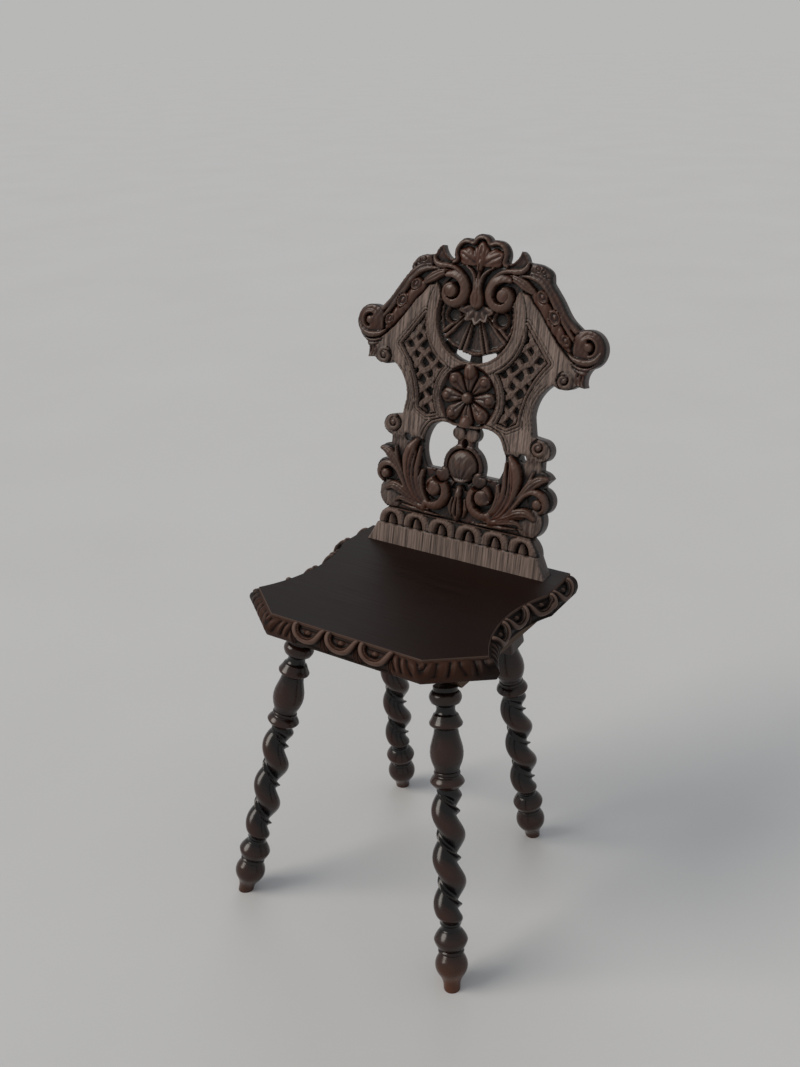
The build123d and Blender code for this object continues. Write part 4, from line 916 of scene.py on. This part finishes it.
# Ears: a smooth disc with a deep hollow round its eye, a bright crescent below, reeds and a folded spike
fromEar = np.hypot(u - earEye[0], v - earEye[1])
earAngle = np.arctan2(v - earEye[1], u - earEye[0])
openSide = 0.5 + 0.5 * np.cos(earAngle - 0.3)
earOpen = ease((openSide - 0.3) / 0.45)
earHeight = np.interp(fromEar, (0, 12, 15.2, 18, 24), (2.6, 2.6, 1.2, 1.0, -0.6))
earCrescent = 1.2 * np.exp(-(((fromEar - 12.4) / 1.6) ** 2)) - 9.5 * ease((10.6 - fromEar) / 2.2)
earHeight = earHeight + earCrescent * earOpen
setForm((fromEar < 24) & (u > 148) & (v > 292), earHeight, rub=0.3)
setForm((u > 146) & (v <= 292) & (v > 262) & (u > 172 - (v - 262) * 0.9), -1.6)
boss(earEye, 5.8, 4.4, 2.6, rub=0.3)
stroke([(141, 305), (149, 299), (159, 296), (170, 295.6), (180, 300), (187, 309.5)],
       (1.0, 3.0, 4.2, 4.4, 3.6, 1.2), (1.6, 3.6, 4.8, 4.8, 4.2, 2.6), roll(3.4), rub=0.1)
earReeds = [[(150, 290.5), (162, 287), (175, 288.4), (184, 296.5)],
            [(154, 284.5), (165, 281.6), (175, 282.8), (181, 289)]]
for line in earReeds:
    stroke(line, (1.4, 2.5, 2.7, 1.4), (0.6, 1.8, 1.8, 0.6), roll(2.4), rub=0.1)
for k in range(3):
    fold = [(156.5 + 5.2 * k, 281), (156 + 5.2 * k, 273), (160 + 4.2 * k, 265)]
    stroke(fold, (1.8, 2.7, 2.0), (0.4, 1.2, 0.2), roll(2.4), rub=0.3)

# Small curls: a band winds into an eye, below each ear and at each waist
for curlAt, curlSize, lead in (((141, 269), 1.0, 120), ((115.5, 176.5), 1.02, 100)):
    curlFar = np.hypot(u - curlAt[0], v - curlAt[1])
    setForm(curlFar < 12.5 * curlSize, np.minimum(carving["height"], -3.0), plain=0.5)
    turns = lead - np.array((0, 90, 180, 270, 360, 450))
    winding = volute(curlAt, tuple(turns), tuple(curlSize * np.array((9.6, 9.2, 8.4, 7.0, 5.2, 3.2))))
    stroke(winding, (2.2, 3.4, 3.8, 3.4, 2.8, 2.0), (1.4, 2.2, 2.8, 3.2, 3.4), roll(3.0), plain=0.5)
    boss(curlAt, 4.0 * curlSize, 3.6, 2.0)

# Lower scrolls: a broad band comes off the stems at the foot, round the inner side, and hugs a faceted eye
setForm(np.hypot(u - lowEye[0], v - lowEye[1]) < 17, -9.0)
lowVolute = volute(lowEye, (296, 270, 225, 180, 135, 90, 45, 0, -45),
                   (27, 25, 20.8, 17.6, 16.4, 15.8, 14.4, 12.6, 11))
lowBand = np.concatenate([flowingCurve([(80, 69), (66, 64.5), (54, 63)]), lowVolute])
stroke(lowBand, (2.4, 3.6, 5.0, 5.8, 6.2, 5.8, 5.0, 4.2, 3.2, 2.0, 1.2),
       (2.2, 3.0, 4.0, 4.8, 5.4, 5.6, 5.6, 5.2, 4.6, 4.0), slope(-0.55, 1.4, 5.6), rub=0.8, keep=True)
facet = dict(eye=(39, 95), radius=11.0, edge=42, tilt=0.62)
boss(facet["eye"], facet["radius"], 6.2, 3.2, rub=0.35)
onFacet = (np.hypot(u - facet["eye"][0], v - facet["eye"][1]) < facet["radius"]) & (u > facet["edge"])
facetHeight = np.minimum(carving["height"], 6.0 - facet["tilt"] * (u - facet["edge"]))
carving["height"] = np.where(onFacet, facetHeight, carving["height"])


def splitSection(x, t):
    # half round with a narrow cleft down its middle, from a quarter of its length to near its end
    cleft = np.exp(-((x / 0.22) ** 2)) * ease((t - 0.25) / 0.1) * ease((0.97 - t) / 0.1)
    return roll(3.6)(x, t) - 4.2 * cleft


def tongueSection(x, t):
    # smooth round tongue with one cleft a third of the way to its edge
    cleft = np.exp(-(((x - 0.34) / 0.13) ** 2)) * ease((t - 0.2) / 0.2) * ease((0.97 - t) / 0.2)
    return slope(0.0, 6.0, 6.0)(x, t) - 1.7 * cleft


# Drop between the top scrolls, with fillets that run up into their shoulders, and the husk between the lower
# scrolls
stroke(straight((0, 396), (0, 355.5)), (1.2, 2.4, 3.8, 5.2, 7.4, 9.6, 9.4),
       (1.6, 3.0, 4.0, 5.0, 5.8, 5.8, 4.8), reeded(3, 1.4, roll(3.6)), rub=0.55, keep=True)
stroke([(20, 401), (12, 396), (6.4, 389), (4.2, 379), (4.4, 366)], (1.2, 2.0, 2.2, 2.0, 1.0),
       (1.6, 3.0, 3.8, 4.6, 5.0), roll(2.2), rub=0.2)
stroke(straight((0, 102), (0, 58)), (3.6, 4.6, 4.2, 5.6, 7.0, 7.0, 3.4), (0.6, 3.0, 4.0, 4.6, 4.8, 4.0, 1.4),
       splitSection, rub=0.25)
stroke([(10, 86), (12.5, 73), (10, 61)], (1.6, 3.6, 1.6), (-1.6, -0.4, -2.0), roll(2.4))

# Acanthus outside the lower scrolls: reeds from one root, a glossy tongue by the kidney, and veined leaves
# each reed or leaf: its spine, half widths and crests along it, its section, and how much it is rubbed
setForm(np.hypot(u - 117, v - 103) < 12, -8.0)
acanthus = [
    ([(60, 66), (76, 71.5), (90, 77), (104, 79)], (1.6, 2.6, 3.0, 1.4), (2.0, 3.0, 3.2, 1.4), roll(2.2), 0.2),
    ([(56, 69), (66, 79), (74, 93), (78, 108), (78, 124), (75, 140)], (1.6, 2.4, 2.8, 2.8, 2.4, 1.2),
     (2.0, 3.0, 3.8, 3.6, 2.6, 0.5), roll(2.6), 0.35),
    ([(22, 55.5), (46, 57.5), (72, 59.5), (98, 61.5)], (0.3, 2.2, 2.6, 0.3), (-3.5, 0.6, 1.2, -3.5),
     roll(2.0), 0.1),
    ([(46, 63.5), (68, 66.5), (84, 70), (96, 70), (102.5, 65)], (2, 3.2, 4.2, 4.2, 2.0),
     (1.8, 3.0, 3.6, 3.4, 1.4), reeded(2, 1.4, roll(2.2)), 0.3),
    ([(47, 71), (55, 79), (61, 90), (63, 102), (60.5, 115)], (2.6, 4.0, 4.8, 4.6, 3.0),
     (2.0, 3.2, 3.6, 3.2, 2.0), reeded(2, 1.8, roll(2.4)), 0.15),
    ([(98, 117), (106, 128), (110, 142)], (1.5, 3.0, 1.6), (0.2, 1.4, 0.0), roll(2.0), 0.1),
    ([(86, 95), (99, 111), (110, 124), (122, 134), (136, 138)], (2.0, 4.4, 6.6, 6.6, 2.2),
     (1.8, 3.2, 4.0, 3.6, 0.8), reeded(3, 1.5, roll(2.4)), 0.2),
    ([(52, 70), (62, 82), (69, 98), (71, 113), (70, 130), (68.5, 148)], (2.4, 3.6, 4.2, 4.0, 3.2, 1.8),
     (2.0, 3.0, 3.6, 3.2, 2.0, -0.4), roll(3.2), 0.5),
    ([(62, 68), (80, 76.5), (96, 85), (109, 86.5), (119, 81)], (2.4, 4.4, 6.0, 6.8, 3.6),
     (2.4, 4.0, 4.8, 4.8, 3.0), reeded(3, 1.5, roll(2.8)), 0.35),
    ([(66, 70), (82, 84), (93, 99), (103, 111.5), (114, 117.5), (125, 115.5), (133, 107), (133, 97),
      (127, 90)],
     (2.0, 2.8, 3.2, 3.2, 3.4, 4.0, 4.6, 4.0, 2.0), (2.4, 3.4, 4.0, 4.2, 4.2, 4.0, 3.4, 2.6, 1.0),
     slope(-0.4, 1.6, 3.4), 0.4),
]
for spine, widths, crests, section, redden in acanthus:
    stroke(spine, widths, crests, section, rub=redden)
boss((122.5, 101.5), 7.0, 4.0, 3.4, rub=0.35)
stroke([(58, 69), (69, 76), (78, 88), (84, 102), (87, 117), (86.5, 132), (82, 146), (75, 157)],
       (2.4, 3.4, 4.2, 5.0, 6.4, 8.4, 8.0, 3.6), (2.2, 3.4, 4.6, 5.4, 6.2, 6.4, 5.6, 2.6), tongueSection,
       rub=0.95)
lowerLobe = np.sqrt(np.clip(1 - ((u - 114) / 21) ** 2 - ((v - 72) / 21) ** 2, 0, 1))
lobeHeight = levels["lower"] + 4.6 * lowerLobe
setForm((u > 92) & (v < 94) & (lowerLobe > 0) & (lobeHeight > carving["height"]), lobeHeight, plain=0.55)

# Stem: two round leaves, a drilled neck, a ribbed ball in its rim, a collar below and two curls, all set back
stem = dict(level=-9.0, foot=108, ballV=131, ball=23.0, rim=32.0, leaf=(11.2, 176.5), leafSize=9.6, neckV=164,
            neck=13.0, hole=(4.8, 6.4), holeV=163.5, curl=(29.5, 116.5))
kidneyFar = distanceField(np.vstack([kidneyLoop, kidneyLoop[:1]]), 14)
fromBall = np.hypot(u, v - stem["ballV"])
aboveFoot = v > stem["foot"]
onStem = (u < 34) & aboveFoot & (v < 189) & (fromBall < 33) | (u < 22) & (v > 155) & (v < 187)
setForm(onStem, stem["level"])
boss((0, stem["neckV"]), stem["neck"], -6.5, 2.0)
boss(stem["leaf"], stem["leafSize"], -4.2, 1.8)
onLeaf = np.hypot(u - stem["leaf"][0], v - stem["leaf"][1]) < stem["leafSize"]
carving["plain"] = np.where(onLeaf, 0.7, carving["plain"])
rimHeight = -11.0 + 5.0 * ease((fromBall - stem["ball"] - 1) / 1.8)
setForm((fromBall < stem["rim"]) & aboveFoot & (v < 160), rimHeight)
ballFan = np.degrees(np.arctan2(u, v - 106))
ribbing = (0.5 + 0.5 * np.cos(np.radians(ballFan * 15))) * ease((34 - ballFan) / 8) * ease((146 - v) / 8)
ballHeight = -8.5 + 11.0 * np.sqrt(np.clip(1 - (fromBall / (stem["ball"] + 0.6)) ** 2, 0, 1)) - ribbing
setForm((fromBall < stem["ball"]) & aboveFoot, ballHeight, plain=0.1)
setForm(np.hypot(u / stem["hole"][0], (v - stem["holeV"]) / stem["hole"][1]) < 1, -16.0)
stroke([(0, 111), (6, 111.6), (11.5, 114.5)], (2.8, 2.6, 1.2), (0.8, 0.6, -1.5), roll(2.4))
stroke([(46, 121), (36, 121), (27, 117)], (3.0, 5.2, 6.6), (-4.0, -2.6, -1.6), roll(3.4))
boss(stem["curl"], 11.0, -1.2, 2.6, groove=1.6, grooveWide=2)
arch = np.hypot(u, (v - 97) * 0.95)
setForm((arch < 14) & (v > 99) & (v < 110) & (arch > 7.5), -10.0)

# Moulded rim round the head of the kidney
rimWhere = ease((v - 160) / 8) * (v < 198) * (u > 18) * (fromRose > 45)
carving["height"] += 1.4 * np.exp(-(((kidneyFar - 2.4) / 1.3) ** 2)) * rimWhere
groove(kidneyFar, 5.0, 0.9, 2.0, rimWhere)
carving["height"] += 0.7 * np.exp(-(((kidneyFar - 7.4) / 1.0) ** 2)) * rimWhere
groove(kidneyFar, 9.6, 0.8, 1.2, rimWhere)

# Band of lunettes above the plinth: broad arches, square shouldered outside and round inside, roughened by
# the gouge, each over a dark cup with a pointed bead
lunettes = dict(pitch=43.0, foot=28.5, top=52.0, cup=(10.6, 15.8), arch=(21.7, 21.8), deep=-8.8, ground=-5.4,
                bead=(6.2, 14.6))
inBand = (v > lunettes["foot"]) & (v < lunettes["top"])
order = np.floor(u / lunettes["pitch"])
fromArch = u - (order + 0.5) * lunettes["pitch"] - 1.2 * np.sin(order * 2.4 + 0.8)
archV = v - lunettes["foot"] - 1.0
archAngle = np.arctan2(np.maximum(archV, 0), np.abs(fromArch))
inner, outer = [((np.cos(archAngle) / w) ** power + (np.sin(archAngle) / h) ** power) ** (-1 / power)
                for (w, h), power in ((lunettes["cup"], 2.0), (lunettes["arch"], 3.2))]
share = (np.hypot(fromArch, archV) - inner) / (outer - inner)
hatch = 0.22 * np.sin(archAngle * 34 + order)
bandHeight = lunettes["ground"] + 6.0 * np.clip(1 - (2 * share - 1) ** 2, 0, 1) ** 0.3 + hatch
bandHeight = np.where(share < 0, lunettes["deep"], np.where(share > 1, lunettes["ground"], bandHeight))
beadHalf = lunettes["bead"][0] * np.sqrt(np.clip(1 - archV / lunettes["bead"][1], 0, 1))
bead = np.sqrt(np.clip(1 - (fromArch / np.maximum(beadHalf, 0.05)) ** 2, 0, 1))
bead = bead * (archV < lunettes["bead"][1])
bandHeight = np.where(bead > 0, np.maximum(bandHeight, -6.4 + 8.0 * bead), bandHeight)
# arches are pale bare wood; the bead is made pale as well, a painted highlight; the cups keep the dark stain
bareArchAndBeadHighlight = np.where((share > 0) | (bead > 0), 0.75, 0.1)
setForm(inBand, np.where(v > 50.6, -1.6, bandHeight), rub=0.05, plain=bareArchAndBeadHighlight)
groove(v, 29.2, 0.9, 3.0, v < 33)
groove(v, 53.4, 1.1, 3.6, (v < 58) & (u < 118))

# Arrises: every cut edge is rounded over
openFar = [distanceField(np.vstack([loop, loop[:1]]), 14) for loop in rightOpenings]
openFar = np.minimum.reduce([edgeFar] + openFar)
edgeDrop = 1 - np.sqrt(np.clip(1 - (1 - np.clip(openFar / back["arris"], 0, 1)) ** 2, 0, 1))
carving["height"] -= 2.2 * edgeDrop * ease((v - 2) / 5)
carving["height"] = np.clip(carving["height"], -16, 6.5)


def boxMean(values, weights, reach):
    # mean over a square of the given half width, by running sums along each axis
    total = []
    for layer in (values * weights, weights):
        for axis in (0, 1):
            pad = [(reach + 1, reach) if k == axis else (0, 0) for k in (0, 1)]
            running = np.cumsum(np.pad(layer, pad), axis=axis)
            size = layer.shape[axis]
            high = np.take(running, np.arange(size) + 2 * reach + 1, axis=axis)
            layer = high - np.take(running, np.arange(size), axis=axis)
        total.append(layer)
    return total[0] / np.maximum(total[1], 1e-6)


def bothHands(half):
    # right half of the grid and its mirror image, sharing the middle column
    return np.concatenate([half[:, :0:-1], half], axis=1)


def makeBack():
    # carved height over the board's grid, cut to the outline: points near an edge move onto it, and walls run
    # from there to the rear
    gridU, gridV = np.meshgrid(columnU, rowV)
    inside = insideLoops(allLoops, columnU, rowV)
    height = bothHands(carving["height"])
    # marks of the gouge: three slow waves, a sixth of a millimetre high or less
    gouge = (0.16 * np.sin(gridU * 0.21 + 1.3 * np.sin(gridV * 0.083))
             + 0.12 * np.sin(gridV * 0.34 + gridU * 0.11) + 0.10 * np.sin(gridU * 0.83 - gridV * 0.57))
    height = height + gouge * ease((gridV - levels["plinthTop"]) / 4)
    weights = inside.astype(float)
    # the carving against its mean nearby: hollows take painted shade and ridges wear, both weaker on the plinth
    fine = height - boxMean(height, weights, 3)
    broad = height - boxMean(height, weights, 9)
    ridge = np.clip(fine * 0.55 + broad * 0.16, -1, 1) * np.where(gridV < 27, 0.3, 1)
    # points within half a step of an edge are set on it, and take part in the mesh
    mixed = np.zeros(inside.shape, bool)
    for rowShift in (-1, 0, 1):
        for columnShift in (-1, 0, 1):
            mixed |= np.roll(inside, (rowShift, columnShift), (0, 1)) != inside
    mixed[0] |= inside[0]
    points = np.stack([gridU, gridV], -1)
    near = points[mixed]
    best = np.full(len(near), np.inf)
    place = near.copy()
    for loop in allLoops:
        closed = np.vstack([loop, loop[:1]])
        reach = back["pitch"] * 2
        low, high = loop.min(0) - reach, loop.max(0) + reach
        some = np.nonzero((near >= low).all(1) & (near <= high).all(1))[0]
        for chunk in np.array_split(some, max(1, len(some) // 1500)):
            d, _, _, foot = nearCurve(closed, near[chunk])
            closer = d < best[chunk]
            best[chunk] = np.where(closer, d, best[chunk])
            place[chunk] = np.where(closer[:, None], foot, place[chunk])
    snap = best < 0.55 * back["pitch"]
    near = np.where(snap[:, None], place, near)
    points[mixed] = near
    used = inside.copy()
    used[mixed] |= snap
    rows, columns = used.shape
    quads = gridFaces(rows, columns)
    ok = used.ravel()[quads]
    count = ok.sum(1)
    full = quads[count == 4]
    three = quads[count == 3]
    missing = (~used.ravel()[three]).argmax(1)
    order = (missing[:, None] + np.arange(1, 4)) % 4
    tris = np.take_along_axis(three, order, axis=1)
    # number the points that faces use
    flags = np.zeros(rows * columns, bool)
    flags[full.ravel()] = True
    flags[tris.ravel()] = True
    number = np.cumsum(flags) - 1
    full, tris = number[full], number[tris]
    flat = points.reshape(-1, 2)[flags]
    front = height.ravel()[flags]
    marks = {"ridge": ridge.ravel()[flags], "plain": bothHands(carving["plain"]).ravel()[flags],
             "rub": bothHands(carving["rub"]).ravel()[flags]}
    # edges that belong to one face only are the board's rim
    edges = np.concatenate([np.stack([f[:, k], np.roll(f, -1, axis=1)[:, k]], 1) for f in (full, tris)
                            for k in range(f.shape[1])])
    key = np.sort(edges, axis=1)
    key = key[:, 0] * len(flat) + key[:, 1]
    _, first, times = np.unique(key, return_index=True, return_counts=True)
    rimEdges = edges[first[times == 1]]
    rimPoints = np.unique(rimEdges)
    rimNumber = np.full(len(flat), -1)
    rimNumber[rimPoints] = np.arange(len(rimPoints))
    # outward push at each rim point: mean of the two rim edges' normals, so shorter where they turn a corner
    run = flat[rimEdges[:, 1]] - flat[rimEdges[:, 0]]
    outward = np.stack([run[:, 1], -run[:, 0]], 1) / np.linalg.norm(run, axis=1)[:, None]
    push = np.zeros((len(rimPoints), 2))
    np.add.at(push, rimNumber[rimEdges[:, 0]], outward)
    np.add.at(push, rimNumber[rimEdges[:, 1]], outward)
    push = push / 2
    rimFlat, rimFront = flat[rimPoints], front[rimPoints]
    deep = -back["thickness"] - (back["topThickness"] - back["thickness"]) * rimFlat[:, 1] / back["crownV"]
    wallFlat, wallHeight, faceSets = [flat], [front], [full, tris]
    last = rimPoints
    total = len(flat)
    for share, inset in ((0.3, 0.0), (0.6, 0.0), (1.0, 0.0), (1.0, 0.3), (1.0, 1.0)):
        bevelDeep = back["bevel"] * math.sqrt(1 - (1 - inset) ** 2)
        z = rimFront + (deep + back["bevel"] - rimFront) * share - bevelDeep
        wallFlat.append(rimFlat - push * inset * back["bevel"])
        wallHeight.append(np.broadcast_to(z, len(rimPoints)))
        now = total + np.arange(len(rimPoints))
        a, b = rimNumber[rimEdges[:, 0]], rimNumber[rimEdges[:, 1]]
        faceSets.append(np.stack([last[a], now[a], now[b], last[b]], 1))
        last = now
        total += len(rimPoints)
    flatAll, heightAll = np.concatenate(wallFlat), np.concatenate(wallHeight)
    lean = math.radians(back["rake"])
    # nothing goes below the seat's top
    flatAll[:, 1] = np.maximum(flatAll[:, 1], -heightAll * math.tan(lean) + 0.02)
    leanY = back["footY"] + flatAll[:, 1] * math.sin(lean) - heightAll * math.cos(lean)
    leanZ = back["footZ"] + flatAll[:, 1] * math.cos(lean) + heightAll * math.sin(lean)
    solid = np.stack([flatAll[:, 0], leanY, leanZ], 1)
    # the walls take a little painted shade
    wallMark = {"ridge": -0.25, "plain": 0.15, "rub": 0.0}
    wallCount = len(solid) - len(flat)
    fields = {k: np.concatenate([values, np.full(wallCount, wallMark[k])]) for k, values in marks.items()}
    piece = makePiece("carved_back", solid, faceSets, materials["carvedStainedOak"],
                      ["back_board"], fields, 62)
    # the flat rear face fills the last rim, openings and all
    shape = bmesh.new()
    shape.from_mesh(piece.data)
    openEdges = [edge for edge in shape.edges if edge.is_boundary]
    bmesh.ops.triangle_fill(shape, use_beauty=True, use_dissolve=False, edges=openEdges)
    bmesh.ops.recalc_face_normals(shape, faces=shape.faces)
    shape.to_mesh(piece.data)
    shape.free()
    print("back carved:", len(piece.data.polygons), "faces, open edges", len(openEdges))


makeBack()
